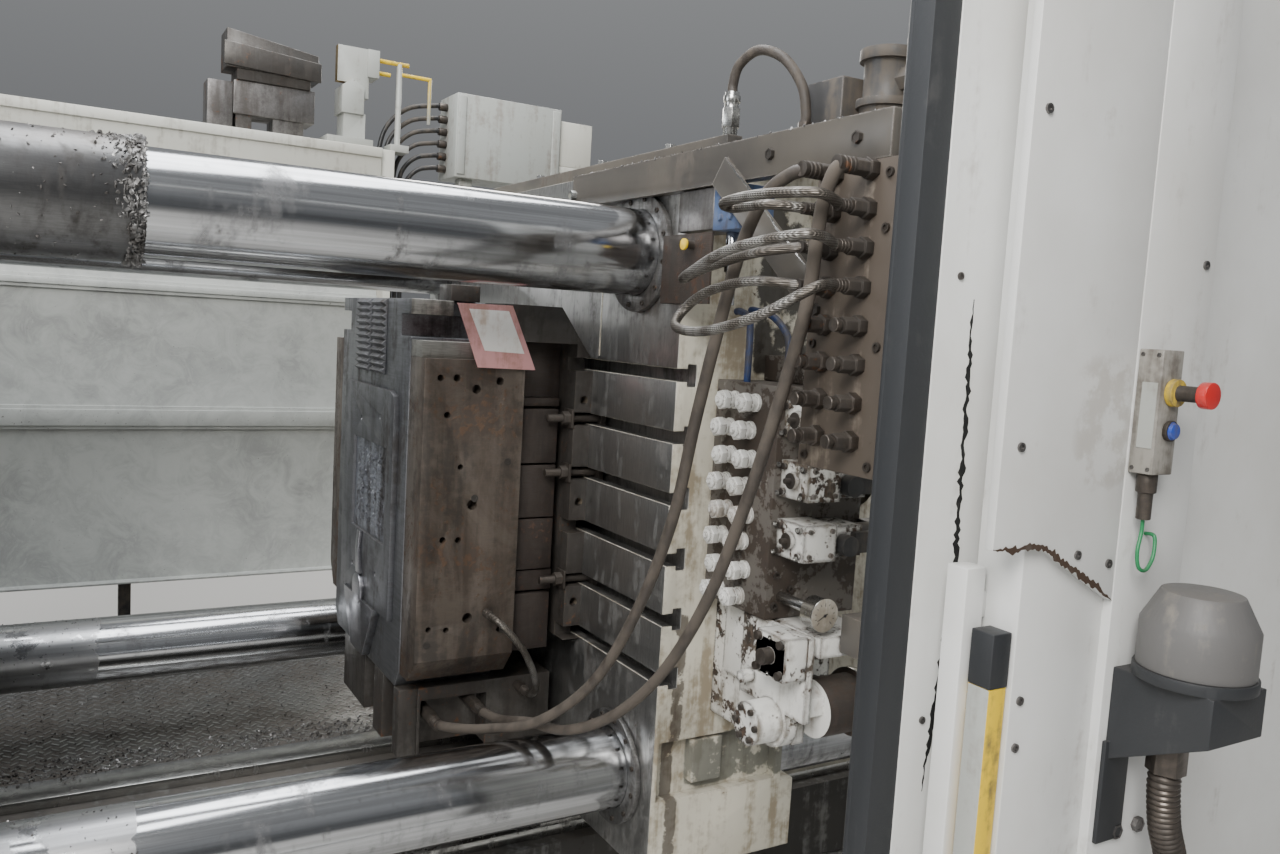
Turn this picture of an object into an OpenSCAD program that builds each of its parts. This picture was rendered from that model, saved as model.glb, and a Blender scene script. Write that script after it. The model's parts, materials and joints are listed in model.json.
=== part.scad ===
// Die casting machine with a horizontal clamping unit, shown with the die open.
// X runs along the machine towards the closing cylinder, Y away from the operator, Z up from the floor.
// X = 0 is the moving platen's face with the die open, Y = 0 the machine's centre line.

/* [Clamping unit] */
// Diameter of the four tie bars
bar_d = 200; // [160:5:220]
// Distance between tie bar centres across the machine
bar_span_y = 1330; // [1310:10:1360]
// Distance between tie bar centres in height
bar_span_z = 1250; // [1210:10:1260]
// Height of the machine's axis above the floor
axis_z = 1200; // [1190:10:1230]
// Distance from the tie bars to the platens' sides
platen_edge = 185; // [175:5:200]
// Height of the platens
platen_h = 1660; // [1640:10:1700]
// Thickness of the moving platen
moving_platen_t = 380; // [340:10:420]
// Thickness of the fixed platen
fixed_platen_t = 420; // [360:10:480]
// Thickness of the end platen
end_platen_t = 420; // [360:10:480]
// Distance between the fixed and the moving platen with the die open
daylight = 1800; // [1780:10:1860]
// Travel of the moving platen
stroke = 940; // [900:5:940]
// Distance from the moving platen's face to the end platen with the die open
end_platen_x = 1300; // [1100:10:1500]

/* [T-slots] */
// Distance between neighbouring T-slots
slot_pitch = 140; // [134:2:146]
// Width of a slot's neck
slot_neck = 28; // [26:1:32]
// Depth of a slot's neck
slot_neck_depth = 30; // [26:1:36]
// Width of a slot's foot
slot_foot = 50; // [48:1:56]
// Depth of a slot's foot
slot_foot_depth = 22; // [20:1:28]

/* [Die] */
// Height of the die above the machine's axis
die_top = 490; // [480:5:500]
// Depth of the die below the machine's axis
die_bottom = 495; // [485:5:505]
// Width of the die blocks between the side cores
die_w = 640; // [620:10:650]
// Distance from the moving platen to the parting face
die_depth = 440; // [430:5:450]
// Thickness of the ejector box between clamp plate and die block
ejector_box_t = 132; // [120:1:140]
// Thickness of the clamp plate
clamp_plate_t = 48; // [44:1:54]
// How far the insert stands proud of the parting face
insert_proud = 15; // [10:1:18]
// How far the side core block stands out of the die's side
side_core_proud = 110; // [100:1:112]
// Number of teeth in a column of the chill vent
vent_teeth = 11; // [9:1:12]

/* [Valves and couplings] */
// Distance between the rows of hose couplings
coupling_pitch = 65; // [62:1:67]
// Number of rows of hose couplings
coupling_rows = 8; // [6:1:8]
// Distance between the two columns of hose couplings
coupling_column = 88; // [80:1:94]
// Distance between the rows of port plugs
plug_pitch = 61; // [56:1:62]
// Number of rows of port plugs
plug_rows = 8; // [6:1:8]
// Height of a directional valve
valve_h = 78; // [70:1:84]
// Distance between the directional valves
valve_pitch = 126; // [120:1:128]
// Outer diameter of the two long hoses
hose_d = 24; // [20:1:26]
// Outer diameter of the jumper hoses
jumper_d = 18; // [14:1:19]
// Diameter of the pressure gauge
gauge_d = 66; // [60:1:70]

/* [Guards] */
// Height of the guards
guard_h = 2340; // [2320:10:2400]
// Distance from the centre line to the rear guard's inner face
rear_guard_y = 1600; // [1580:10:1640]
// Distance from the centre line to the sliding door's inner face
door_y = 1600; // [1590:2:1604]
// Thickness of the sliding door
door_t = 60; // [50:1:64]
// Length of the sliding door
door_w = 1700; // [1660:10:1740]
// Width of the door's rubber seal
seal_w = 54; // [50:1:60]
// Width of the light curtain's housing
curtain_w = 38; // [34:1:40]
// Height of the light curtain's top
curtain_top = 1232; // [1190:2:1240]

/* [Hidden] */
$fn = 48;
// Running gap between a bush and its bar, gap between seated pieces, and a cutter's overrun
running = 0.05;
seat = 0.3;
cut = 1;
hex = 6;
// Tie bars, their nuts, bushes and wiper flanges
bar_r = bar_d / 2;
bar_y = bar_span_y / 2;
bar_low_z = axis_z - bar_span_z / 2;
bar_high_z = axis_z + bar_span_z / 2;
bar_ys = [-bar_y, bar_y];
bar_zs = [bar_low_z, bar_high_z];
nut_l = 200;
nut_r = bar_r + 55;
bar_stub = 60;
bush_r = bar_r + 10;
wiper_r = bar_r + 38;
wiper_proud = 15;
wiper_l = 25;
sleeve_r = bar_r + 12;
sleeve_end_x = -stroke - wiper_proud - 110;
// Platens
platen_w = bar_span_y + 2 * platen_edge;
platen_low_z = axis_z - platen_h / 2;
platen_high_z = axis_z + platen_h / 2;
platen_y = platen_w / 2;
side_y = -platen_y;
fixed_face_x = -daylight;
fixed_back_x = fixed_face_x - fixed_platen_t;
end_back_x = end_platen_x + end_platen_t;
bar_start_x = fixed_back_x - nut_l - bar_stub;
bar_end_x = end_back_x + nut_l + bar_stub;
recess_z = [555, 697];
recess_depth = 30;
foot_x = moving_platen_t + 40;
// Bed, rails and feet
rail_y = 340;
rail_w = 120;
rail_top_z = 300;
rail_t = 30;
platen_foot_w = 180;
bed_w = 260;
bed_y = 440;
bed_start_x = fixed_back_x - 60;
bed_end_x = end_back_x + 120;
foot_t = 30;
foot_l = 300;
foot_w = 120;
anchor_r = 17;
cross_xs = [-1500, 0, 1100];
cross_w = 200;
cross_h = 120;
// Closing cylinder and its ram
ram_r = 110;
ram_clear = 10;
cylinder_r = 260;
cylinder_l = stroke + 260;
cylinder_flange = 70;
cylinder_cap = 90;
// Injection side
shot_z = axis_z - 300;
shot_bore_r = 45;
shot_front_r = 60;
shot_back_r = 100;
shot_reach = 420;
injection_x = fixed_back_x - 1500;
injection_t = 220;
injection_y = 420;
injection_top = 320;
injection_base_l = 1780;
injection_base_h = 360;
tie_rod_r = 40;
tie_rod_y = 320;
tie_rod_z = 220;
shot_cylinder_r = 130;
accumulator_x = injection_x - 1750;
accumulator_y = 280;
accumulator_r = 140;
accumulator_z = [360, 1900];
accumulator_step = 0.3;
// Die halves
parting_x = -die_depth;
cover_face_x = parting_x - stroke - 5;
pocket_depth = 30;
die_y = die_w / 2;
side_core_y = die_y + side_core_proud;
die_low_z = axis_z - die_bottom;
die_high_z = axis_z + die_top;
clamp_y = 450;
clamp_low_z = 831;
clamp_high_z = 1556;
box_back_x = -clamp_plate_t;
box_front_x = -clamp_plate_t - ejector_box_t;
box_y = 375;
box_rail_z = 1600;
panel_t = 25;
panels = [[800, 949], [1013, 1145], [1149, 1285], [1290, 1430]];
slim_panels = [[955, 1009], [1436, 1458]];
insert_y = [-255, 212];
insert_z = [865, 1455];
insert_corner = 40;
cavity_y = [-200, 115];
cavity_z = [1050, 1305];
cavity_depth = 9;
vent_z = [1490, 1688];
vent_columns = [[-122, -8], [22, 138]];
vent_depth = 14;
core_low_z = 808;
core_high_z = 1550;
core_lip = [1550.3, 1590];
core_lip_y = side_core_y - 25;
// Bores in the side core's face: place along X, height and radius
core_bores = [[-398, 1504, 8], [-357, 1505, 9], [-306, 1479, 11], [-246, 1500, 10], [-378, 1415, 8],
    [-339, 1288, 7], [-305, 1194, 13], [-377, 1109, 8], [-337, 1107, 8], [-305, 909, 13], [-404, 888, 7],
    [-359, 883, 7], [-218, 872, 8]];
core_bore_depth = 40;
stud_r = 10;
stud_y = clamp_y - 20;
stud_rows = [1.5, 0.5, -1.5];
leg_low_z = 530;
leg_front_y = [-330, -284];
// The tag's outline and that of the sheet on it
tag_t = 0.8;
tag_outline = [[-372, 1684], [-314, 1533], [-162, 1531], [-230, 1686]];
sheet_outline = [[-342, 1672], [-298, 1574], [-194, 1570], [-240, 1672]];
// Top beam, brace and coupling plate
beam_t = 30;
beam_z = [platen_high_z - 80, platen_high_z];
beam_end_y = -1500;
top_rail_x = [80, 120];
top_rail_z = platen_high_z + 55;
coupling_y = -1375;
coupling_z = 1933;
coupling_hex_r = 19;
fitting_x = -75;
// Valves
block_x = [110, 360];
block_y = side_y - 230;
block_z = [1045, 1545];
plug_ys = [side_y - 76, side_y - 152];
plug_stagger = 13;
plug_top_z = 1504;
plug_r = 22;
valve_y = [block_y - 92, block_y];
valve_top_z = 1440;
valve_x = [128, 214];
manifold_z = [760, 1045 - seat];
manifold_y = side_y - 190;
port_plate_y = side_y - 372;
gauge_x = 150;
gauge_z = 1092;
pipe_z = 890;
pipe_y = side_y - 320;
// Rear guard and the units on it
rail_low_z = guard_h - 269;
panel_low_z = 550;
guard_x = [fixed_face_x + 60, 15];
post_w = 60;
post_d = 80;
band_zs = [[1150, 1240], [1673, 1724]];
stub_x = -935;
// Front guard
track_z = guard_h + 120;
wheel_r = 40;
post_y = -1785;
cover_y = -1800;
jamb_w = 120;
curtain_x = -16;
cap_h = 84;
post_x = curtain_x + curtain_w + 5;
door_x = -62;
cover_low_z = 1336;
box_low_z = 1472;
button_x = 258;
switch_y = -1892;
switch_x = 310;
switch_r = 84;
switch_z = [1008, 1160];
conduit_x = 303;
// Hose routes: places chosen by hand
long_front = [[-75, -1375, 1933], [-95, -1375, 1933], [-112, -1345, 1925], [-122, -1290, 1890], [-126, -1235, 1800],
    [-130, -1185, 1650], [-126, -1125, 1480], [-120, -1055, 1270], [-128, -955, 1060], [-158, -835, 865],
    [-225, -705, 735], [-300, -560, 672], [-348, -450, 642], [-360, -395, 632], [-360, -375, 632]];
long_rear = [[-75, -1463, 1933], [-95, -1463, 1933], [-112, -1458, 1915], [-110, -1432, 1850], [-98, -1398, 1700],
    [-88, -1330, 1530], [-84, -1250, 1340], [-86, -1150, 1130], [-96, -1020, 940], [-125, -880, 800],
    [-176, -750, 722], [-214, -630, 702], [-236, -500, 664], [-243, -395, 650], [-243, -375, 650]];
lower_fittings = [[-360, 632], [-243, 650]];
jumper_a = [[-75, -1375, 1868], [-95, -1375, 1868], [-150, -1335, 1872], [-172, -1270, 1868], [-205, -1290, 1872],
    [-195, -1380, 1880], [-150, -1470, 1880], [-95, -1463, 1868], [-75, -1463, 1868]];
jumper_b = [[-75, -1375, 1803], [-95, -1375, 1803], [-150, -1310, 1790], [-175, -1200, 1765], [-200, -1170, 1745],
    [-225, -1220, 1750], [-215, -1330, 1790], [-160, -1460, 1815], [-95, -1463, 1803], [-75, -1463, 1803]];
jumper_c = [[-75, -1375, 1738], [-95, -1375, 1738], [-150, -1310, 1742], [-180, -1220, 1722], [-200, -1170, 1685],
    [-225, -1190, 1655], [-230, -1290, 1650], [-200, -1400, 1680], [-150, -1480, 1730], [-95, -1463, 1738],
    [-75, -1463, 1738]];
die_hose_route = [[-256, -430.3, 918], [-256, -450, 918], [-232, -488, 896], [-180, -502, 832], [-135, -485, 745],
    [-118, -440, 695], [-115, -395, 680], [-115, -375, 680]];
blue_a = [[150, -850, 1700], [150, -868, 1700], [140, -915, 1685], [130, -935, 1640], [128, -938, 1580],
    [128, -938, 1545]];
blue_b = [[190, -850, 1705], [190, -868, 1705], [190, -940, 1690], [185, -1000, 1645], [180, -1012, 1580],
    [180, -1012, 1545]];
top_hose_route = [[100, -850, 2180], [100, -850, 2200], [100, -870, 2236], [110, -925, 2258], [128, -990, 2232],
    [140, -1042, 2170], [145, -1055, 2115], [145, -1055, 2092]];
// Hoses of the box above the rear guard: number, distance in height, distance behind the guard
box_hose_count = 6;
box_hose_pitch = 54;
box_hose_y = 130;
box_hose_r = 10;
// Place of the first hose's drop, distance between the drops, start of the bends, top and low end
box_drop_x = 40;
box_drop_pitch = 23;
box_bend_x = 285;
box_top_z = guard_h + 240;
box_hose_end = 1480;
green_route = [[250, -1820, 1400], [250, -1820, 1380], [240, -1823, 1350], [244, -1825, 1326], [262, -1825, 1320],
    [280, -1823, 1335], [288, -1820, 1358], [290, -1815, 1372], [290, -1800.3, 1372]];
conduit_route = [[303, -1868, 1005], [303, -1868, 980], [316, -1868, 915], [344, -1868, 850], [362, -1868, 760],
    [368, -1868, 660], [368, -1864, 590], [368, -1848, 535], [368, -1820, 510], [368, -1800.3, 510]];

// A block between two corners
module block(x, y, z) {
    translate([x[0], y[0], z[0]])
        cube([x[1] - x[0], y[1] - y[0], z[1] - z[0]]);
}
// A round bar along X between two places
module bar_x(x, y, z, r, sides = 48) {
    translate([x[0], y, z])
        rotate([0, 90, 0])
            cylinder(h = x[1] - x[0], r = r, $fn = sides);
}
// A round bar along Y between two places
module bar_y(x, y, z, r, sides = 48) {
    translate([x, y[0], z])
        rotate([-90, 0, 0])
            cylinder(h = y[1] - y[0], r = r, $fn = sides);
}
// A round bar along Z between two places
module bar_z(x, y, z, r, sides = 48) {
    translate([x, y, z[0]])
        cylinder(h = z[1] - z[0], r = r, $fn = sides);
}
// A sheet whose outline lies in the X-Z plane
module plate_xz(y, outline) {
    translate([0, y[1], 0])
        rotate([90, 0, 0])
            linear_extrude(height = y[1] - y[0])
                polygon(outline);
}
// A sheet whose outline lies in the Y-Z plane
module plate_yz(x, outline) {
    translate([x[0], 0, 0])
        rotate([90, 0, 90])
            linear_extrude(height = x[1] - x[0])
                polygon(outline);
}

// Direction along a path at point i
function path_dir(p, i) =
    let (d = p[min(i + 1, len(p) - 1)] - p[max(i - 1, 0)])
    d / norm(d);
// A point on the smooth curve from b to c, whose neighbours are a and d
function curve_point(a, b, c, d, t) =
    0.5 * (2 * b + (c - a) * t + (2 * a - 5 * b + 4 * c - d) * t * t + (3 * b - a - 3 * c + d) * t * t * t);
// The smooth curve through a route, with n steps from one point to the next
function smooth_path(r, n) = [
    for (i = [0 : len(r) - 2])
        for (k = [0 : n - 1])
            curve_point(r[max(i - 1, 0)], r[i], r[i + 1], r[min(i + 2, len(r) - 1)], k / n),
    r[len(r) - 1]
];
// What is left of v square to the direction t, with length 1
function square_to(v, t) =
    let (w = v - (v * t) * t)
    w / norm(w);
// One side direction for each point, carried along the path without twist
function path_sides(p, first) = [
    for (i = 0, s = square_to(first, path_dir(p, 0)); i < len(p);
         i = i + 1, s = i < len(p) ? square_to(s, path_dir(p, i)) : s) s
];
// The direction of ring i: at the ends it is the route's own, so that the tube ends square
function ring_dir(route, path, i) =
    i == 0 ? path_dir(route, 0) : i == len(path) - 1 ? path_dir(route, len(route) - 1) : path_dir(path, i);
// A round tube swept along a route
module swept_tube(route, r, steps, sides = 8, first = [0.3, 0.4, 1]) {
    path = smooth_path(route, steps);
    side = path_sides(path, first);
    rings = [
        for (i = [0 : len(path) - 1])
            let (t = ring_dir(route, path, i), s = square_to(side[i], t), u = cross(t, s))
            for (k = [0 : sides - 1])
                path[i] + r * (cos(360 * k / sides) * s + sin(360 * k / sides) * u)
    ];
    last = (len(path) - 1) * sides;
    skin = [
        for (i = [0 : len(path) - 2])
            for (k = [0 : sides - 1])
                [i * sides + k, i * sides + (k + 1) % sides, (i + 1) * sides + (k + 1) % sides, (i + 1) * sides + k]
    ];
    ends = [
        [for (k = [sides - 1 : -1 : 0]) k],
        [for (k = [0 : sides - 1]) last + k]
    ];
    polyhedron(points = rings, faces = [for (f = concat(skin, ends)) [for (k = [len(f) - 1 : -1 : 0]) f[k]]]);
}

// Bed

module bed() {
    color("slategray") {
        for (s = [-1, 1])
            difference() {
                union() {
                    block([bed_start_x, bed_end_x], s < 0 ? [-bed_y, -bed_y + bed_w] : [bed_y - bed_w, bed_y],
                        [foot_t, rail_top_z - rail_t]);
                    for (x = [bed_start_x, bed_end_x - foot_l])
                        block([x, x + foot_l],
                            s < 0 ? [-bed_y - foot_w, -bed_y + bed_w] : [bed_y - bed_w, bed_y + foot_w], [0, foot_t]);
                }
                for (x = [bed_start_x + foot_l / 2, bed_end_x - foot_l / 2])
                    bar_z(x, s * (bed_y + foot_w / 2), [-cut, foot_t + cut], anchor_r);
            }
        for (x = cross_xs)
            block([x - cross_w / 2, x + cross_w / 2], [-bed_y + bed_w + seat, bed_y - bed_w - seat], [0, cross_h]);
    }
    // The two slide rails
    color("silver")
        for (s = [-1, 1])
            block([fixed_face_x + 20, end_platen_x - 20],
                [s * rail_y - rail_w / 2, s * rail_y + rail_w / 2], [rail_top_z - rail_t + seat, rail_top_z]);
}

// Platens and tie bars

module t_slots(face_x, dir) {
    for (k = [-2.5 : 1 : 2.5])
        translate([0, 0, axis_z + k * slot_pitch]) {
            block(dir > 0 ? [face_x - cut, face_x + slot_neck_depth] : [face_x - slot_neck_depth, face_x + cut],
                [-platen_w, platen_w], [-slot_neck / 2, slot_neck / 2]);
            block(dir > 0 ? [face_x + slot_neck_depth - cut, face_x + slot_neck_depth + slot_foot_depth]
                : [face_x - slot_neck_depth - slot_foot_depth, face_x - slot_neck_depth + cut],
                [-platen_w, platen_w], [-slot_foot / 2, slot_foot / 2]);
        }
}

module bar_holes(x, r) {
    for (y = bar_ys)
        for (z = bar_zs)
            bar_x(x, y, z, r);
}

// A platen that stands on the bed with two feet
module standing_platen(x) {
    block(x, [-platen_y, platen_y], [platen_low_z, platen_high_z]);
    for (s = [-1, 1])
        block(x, [s * rail_y - platen_foot_w, s * rail_y + platen_foot_w], [rail_top_z - rail_t, platen_low_z + cut]);
}

module fixed_platen() {
    color("gainsboro")
        difference() {
            standing_platen([fixed_back_x, fixed_face_x]);
            bar_holes([fixed_back_x - cut, fixed_face_x + cut], bar_r + seat);
            bar_x([fixed_back_x - cut, fixed_face_x + cut], 0, shot_z, shot_back_r + seat);
            t_slots(fixed_face_x, -1);
        }
}

module tie_bars() {
    color("silver")
        bar_holes([bar_start_x, bar_end_x], bar_r);
}

module tie_bar_nuts() {
    color("dimgray")
        difference() {
            for (y = bar_ys)
                for (z = bar_zs) {
                    bar_x([fixed_back_x - nut_l, fixed_back_x], y, z, nut_r);
                    bar_x([end_back_x, end_back_x + nut_l], y, z, nut_r);
                }
            bar_holes([bar_start_x - cut, bar_end_x + cut], bar_r + seat);
        }
}

module tie_bar_sleeve() {
    color("gray")
        difference() {
            bar_x([fixed_face_x, sleeve_end_x], -bar_y, bar_high_z, sleeve_r);
            bar_x([fixed_face_x - cut, sleeve_end_x + cut], -bar_y, bar_high_z, bar_r + seat);
        }
}

module end_platen() {
    color("gainsboro")
        difference() {
            standing_platen([end_platen_x, end_back_x]);
            bar_holes([end_platen_x - cut, end_back_x + cut], bar_r + seat);
            bar_x([end_platen_x - cut, end_back_x + cut], 0, axis_z, ram_r + 40);
        }
}

module closing_cylinder() {
    color("lightgray")
        difference() {
            union() {
                bar_x([end_back_x, end_back_x + cylinder_l], 0, axis_z, cylinder_r);
                bar_x([end_back_x, end_back_x + 80], 0, axis_z, cylinder_r + cylinder_flange);
                bar_x([end_back_x + cylinder_l - cylinder_cap, end_back_x + cylinder_l], 0, axis_z, cylinder_r + 40);
            }
            bar_x([end_back_x - cut, end_back_x + cylinder_l - cylinder_cap], 0, axis_z, ram_r + ram_clear);
        }
}

module closing_ram() {
    color("silver") {
        bar_x([moving_platen_t, end_back_x + stroke + 100], 0, axis_z, ram_r);
        bar_x([moving_platen_t, moving_platen_t + 70], 0, axis_z, ram_r + 90);
    }
}

// Injection side

module cover_die() {
    color("dimgray") {
        difference() {
            block([fixed_face_x, cover_face_x - pocket_depth], [-side_core_y, side_core_y], [die_low_z, die_high_z]);
            bar_x([fixed_face_x - cut, cover_face_x], 0, shot_z, shot_front_r + seat);
        }
        for (s = [-1, 1])
            block([cover_face_x - pocket_depth + seat, cover_face_x],
                s < 0 ? [-side_core_y, insert_y[0] - 40] : [insert_y[1] + 40, side_core_y], [die_low_z, die_high_z]);
    }
}

module shot_sleeve() {
    color("gray")
        difference() {
            union() {
                bar_x([fixed_back_x - shot_reach, fixed_face_x - seat], 0, shot_z, shot_back_r);
                bar_x([fixed_face_x - cut, cover_face_x - pocket_depth], 0, shot_z, shot_front_r);
            }
            bar_x([fixed_back_x - shot_reach - cut, cover_face_x], 0, shot_z, shot_bore_r);
            block([fixed_back_x - 360, fixed_back_x - 180], [-shot_bore_r, shot_bore_r], [shot_z, shot_z + 200]);
        }
}

module injection_frame() {
    color("gainsboro") {
        difference() {
            block([injection_x - injection_t, injection_x], [-injection_y, injection_y],
                [foot_t, shot_z + injection_top]);
            bar_x([injection_x - injection_t - cut, injection_x + cut], 0, shot_z, shot_cylinder_r + seat);
        }
        block([injection_x - injection_t - injection_base_l, injection_x - injection_t - seat],
            [-injection_y, injection_y], [0, injection_base_h]);
        for (y = [-tie_rod_y, tie_rod_y])
            for (z = [-tie_rod_z, tie_rod_z])
                bar_x([injection_x + seat, fixed_back_x - seat], y, shot_z + z, tie_rod_r);
    }
}

module shot_cylinder() {
    color("lightgray") {
        bar_x([injection_x - 1500, injection_x], 0, shot_z, shot_cylinder_r);
        bar_x([injection_x - 1590, injection_x - 1500], 0, shot_z, shot_cylinder_r + 40);
        bar_x([injection_x, fixed_back_x - 560], 0, shot_z, 40);
        bar_x([injection_x + 300, injection_x + 420], 0, shot_z, 80);
        bar_x([fixed_back_x - 560, fixed_back_x - 380], 0, shot_z, shot_bore_r - running);
        for (x = [injection_x - 1300, injection_x - 500])
            block([x, x + 160], [-110, 110], [injection_base_h + seat, shot_z - 60]);
    }
}

module accumulators() {
    color("steelblue")
        for (y = [-accumulator_y, accumulator_y]) {
            bar_z(accumulator_x, y, [accumulator_z[0] + accumulator_step, accumulator_z[1]], accumulator_r);
            translate([accumulator_x, y, accumulator_z[1]])
                sphere(r = accumulator_r);
        }
}

// Rear guard

module rear_guard_frame() {
    color("gainsboro") {
        for (x = [guard_x[0] - post_w, guard_x[1]])
            block([x, x + post_w], [rear_guard_y, rear_guard_y + post_d], [0, guard_h]);
        block([guard_x[0] + seat, guard_x[1] - seat], [rear_guard_y - 20, rear_guard_y + 200], [rail_low_z, guard_h]);
        block([guard_x[0] + seat, guard_x[1] - seat], [rear_guard_y - 30, rear_guard_y - 20], [guard_h - 40, guard_h]);
        block([stub_x - 22, stub_x + 22], [rear_guard_y + 4, rear_guard_y + 44], [0, rail_low_z - seat]);
    }
}

module rear_guard_panels() {
    color("lightgray") {
        block([guard_x[0] + seat, guard_x[1] - seat], [rear_guard_y, rear_guard_y + 3],
            [panel_low_z, rail_low_z - seat]);
        for (z = band_zs) {
            block([guard_x[0] + seat, guard_x[1] - seat], [rear_guard_y - 12, rear_guard_y + 1], z);
            block([guard_x[0] + seat, guard_x[1] - seat], [rear_guard_y - 20, rear_guard_y - 12],
                [z[0] + 14, z[1] - 14]);
        }
        block([guard_x[0] + seat, guard_x[1] - seat], [rear_guard_y - 45, rear_guard_y + 1],
            [panel_low_z, panel_low_z + 8]);
    }
}

module chute_plate() {
    color("darkgray")
        block([guard_x[0] - post_w, guard_x[1] + 400], [bed_y - 30, rear_guard_y],
            [rail_top_z - rail_t, rail_top_z - 10]);
}

// Units above the rear guard

module tool_block() {
    color("dimgray")
        translate([0, rear_guard_y, guard_h]) {
            block([-665, -571], [20, 140], [seat, 180]);
            block([-560, -500], [20, 150], [seat, 60]);
            block([-420, -300], [20, 150], [seat, 60]);
            block([-571 + seat, -260], [10, 160], [60, 190]);
            block([-560, -280], [0, 150], [190, 232]);
            block([-600, -240], [-6, 150], [232, 262]);
            plate_xz([-10, 0], [[-610, 240], [-240, 225], [-240, 300], [-610, 330]]);
            plate_xz([0, 150], [[-600, 262], [-250, 262], [-250, 330], [-600, 380]]);
        }
}

module air_unit() {
    color("darkgray")
        translate([0, rear_guard_y, guard_h]) {
            block([-210, -20], [0, 150], [seat, 30]);
            block([-140, -50], [20, 130], [25, 135]);
            plate_xz([10, 140], [[-150, 130], [-60, 130], [-60, 240], [-110, 270], [-150, 240]]);
            block([-170, -40], [20, 60], [255, 400]);
            block([-48, 0], [10, 130], [288, 400]);
            block([-110, -40], [20, 100], [200, 300]);
            bar_x([0, 140], 60, 372, 9);
            bar_x([0, 60], 60, 320, 9);
            bar_z(100, 60, [30, 372], 12);
            bar_x([100, 240], 60, 330, 8);
            bar_z(236, 60, [140, 330], 8);
            block([60, 140], [20, 120], [seat, 30]);
        }
}

module hose_box() {
    color("lightgray")
        translate([0, rear_guard_y, 0]) {
            block([343, 846], [0, 220], [guard_h - 73, guard_h + 288]);
            block([846 + seat, 1017], [20, 200], [guard_h + 40, guard_h + 244]);
            block([846 + seat, 1017], [20, 200], [guard_h, guard_h + 40 - seat]);
            for (x = [380, 760])
                block([x, x + post_w], [40, 40 + post_w], [0, guard_h - 73 - seat]);
            block([349, 384], [-8, -seat], [guard_h - 60, guard_h + 278]);
            block([800, 840], [-8, -seat], [guard_h - 60, guard_h + 278]);
            for (k = [0 : box_hose_count - 1])
                bar_x([305 + seat, 343 - seat], box_hose_y, box_top_z - box_hose_pitch * k, 17, 16);
        }
}

// Route of hose k: level out of the box, a quarter bend, then straight down behind the guard
function box_route(k) =
    let (y = rear_guard_y + box_hose_y, x = box_drop_x + k * box_drop_pitch, z = box_top_z - k * box_hose_pitch,
         r = box_bend_x - x)
    [[305, y, z], [box_bend_x, y, z], [box_bend_x - 0.5 * r, y, z - 0.13 * r], [box_bend_x - 0.87 * r, y, z - 0.5 * r],
     [x, y, z - r], [x, y, z - 1.6 * r], [x, y, 1850], [x, y, 1650], [x, y, box_hose_end + 70],
     [x, y, box_hose_end + 20], [x, y, box_hose_end]];
module box_hoses() {
    color("black")
        for (k = [0 : box_hose_count - 1])
            swept_tube(box_route(k), box_hose_r, 2);
}

// Front guard

module guard_posts() {
    color("whitesmoke") {
        block([post_x, 225 - seat], [post_y, post_y + 85], [0, track_z]);
        block([225, 400], [cover_y, post_y + 85], [0, track_z]);
        block([-26, post_x - 12], [post_y + 55, post_y + 95], [0, 1320]);
        for (z = [120, 700, 1240])
            block([post_x - 12 + seat, post_x - seat], [post_y + 60, post_y + 80], [z, z + 40]);
        block([fixed_face_x - jamb_w, fixed_face_x], [post_y, post_y + 85], [0, track_z]);
        block([door_w - 60, door_w + 60], [post_y, post_y + 85], [0, track_z]);
        block([fixed_face_x - jamb_w, fixed_face_x], [post_y + 85 + seat, -bed_y - seat], [0, 60]);
        block([door_w - 60, door_w + 60], [post_y + 85 + seat, -bed_y - foot_w - seat], [0, foot_t]);
    }
}

module door_track() {
    color("gainsboro") {
        block([fixed_face_x - jamb_w, door_w + 60], [-door_y - 40, -door_y - 20], [track_z - 70, track_z]);
        for (x = [fixed_face_x - jamb_w, 60, door_w - 60])
            block([x, x + jamb_w], [post_y + 85 + seat, -door_y - 40 - seat], [track_z - 60, track_z - 20]);
        block([fixed_face_x + seat, door_w - 60 - seat], [-door_y - door_t, -door_y], [0, 60]);
        for (x = [60, 1200])
            block([x, x + jamb_w], [post_y + 85 + seat, -door_y - door_t - seat], [0, 50]);
    }
}

module post_cover() {
    color("white")
        plate_xz([cover_y - seat, post_y - seat], [[-60, cover_low_z + 28], [46, cover_low_z + 28],
            [222, cover_low_z - 68], [222, guard_h], [-60, guard_h]]);
}

module light_curtain() {
    color("gold") {
        block([curtain_x, curtain_x + curtain_w], [post_y + 5, post_y + 45], [60, curtain_top - cap_h]);
        block([curtain_x - 1, curtain_x + curtain_w + 1], [post_y + 4, post_y + 46], [curtain_top - cap_h + seat, curtain_top]);
        // Brackets to the post behind the housing
        for (z = [200, 1100])
            block([curtain_x + 10, curtain_x + 28], [post_y + 45 + seat, post_y + 55 - seat], [z, z + 30]);
    }
}

module button_box() {
    color("dimgray") {
        block([228, 280], [cover_y - 40, cover_y - seat], [box_low_z, box_low_z + 190]);
        bar_z(250, cover_y - 20, [box_low_z - 30, box_low_z - seat], 15, 16);
        bar_z(250, cover_y - 20, [box_low_z - 72, box_low_z - 30], 11, 16);
    }
}

module push_buttons() {
    color("red") {
        bar_y(button_x, [cover_y - 52, cover_y - 40 - seat], 1598, 21);
        bar_y(button_x, [cover_y - 88, cover_y - 52], 1598, 12);
        bar_y(button_x, [cover_y - 104, cover_y - 88], 1598, 20);
        bar_y(button_x, [cover_y - 48, cover_y - 40 - seat], 1540, 16);
        bar_y(button_x, [cover_y - 53, cover_y - 48], 1540, 12);
    }
}

module button_cable() {
    color("green")
        swept_tube(green_route, 3, 2);
}

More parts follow.
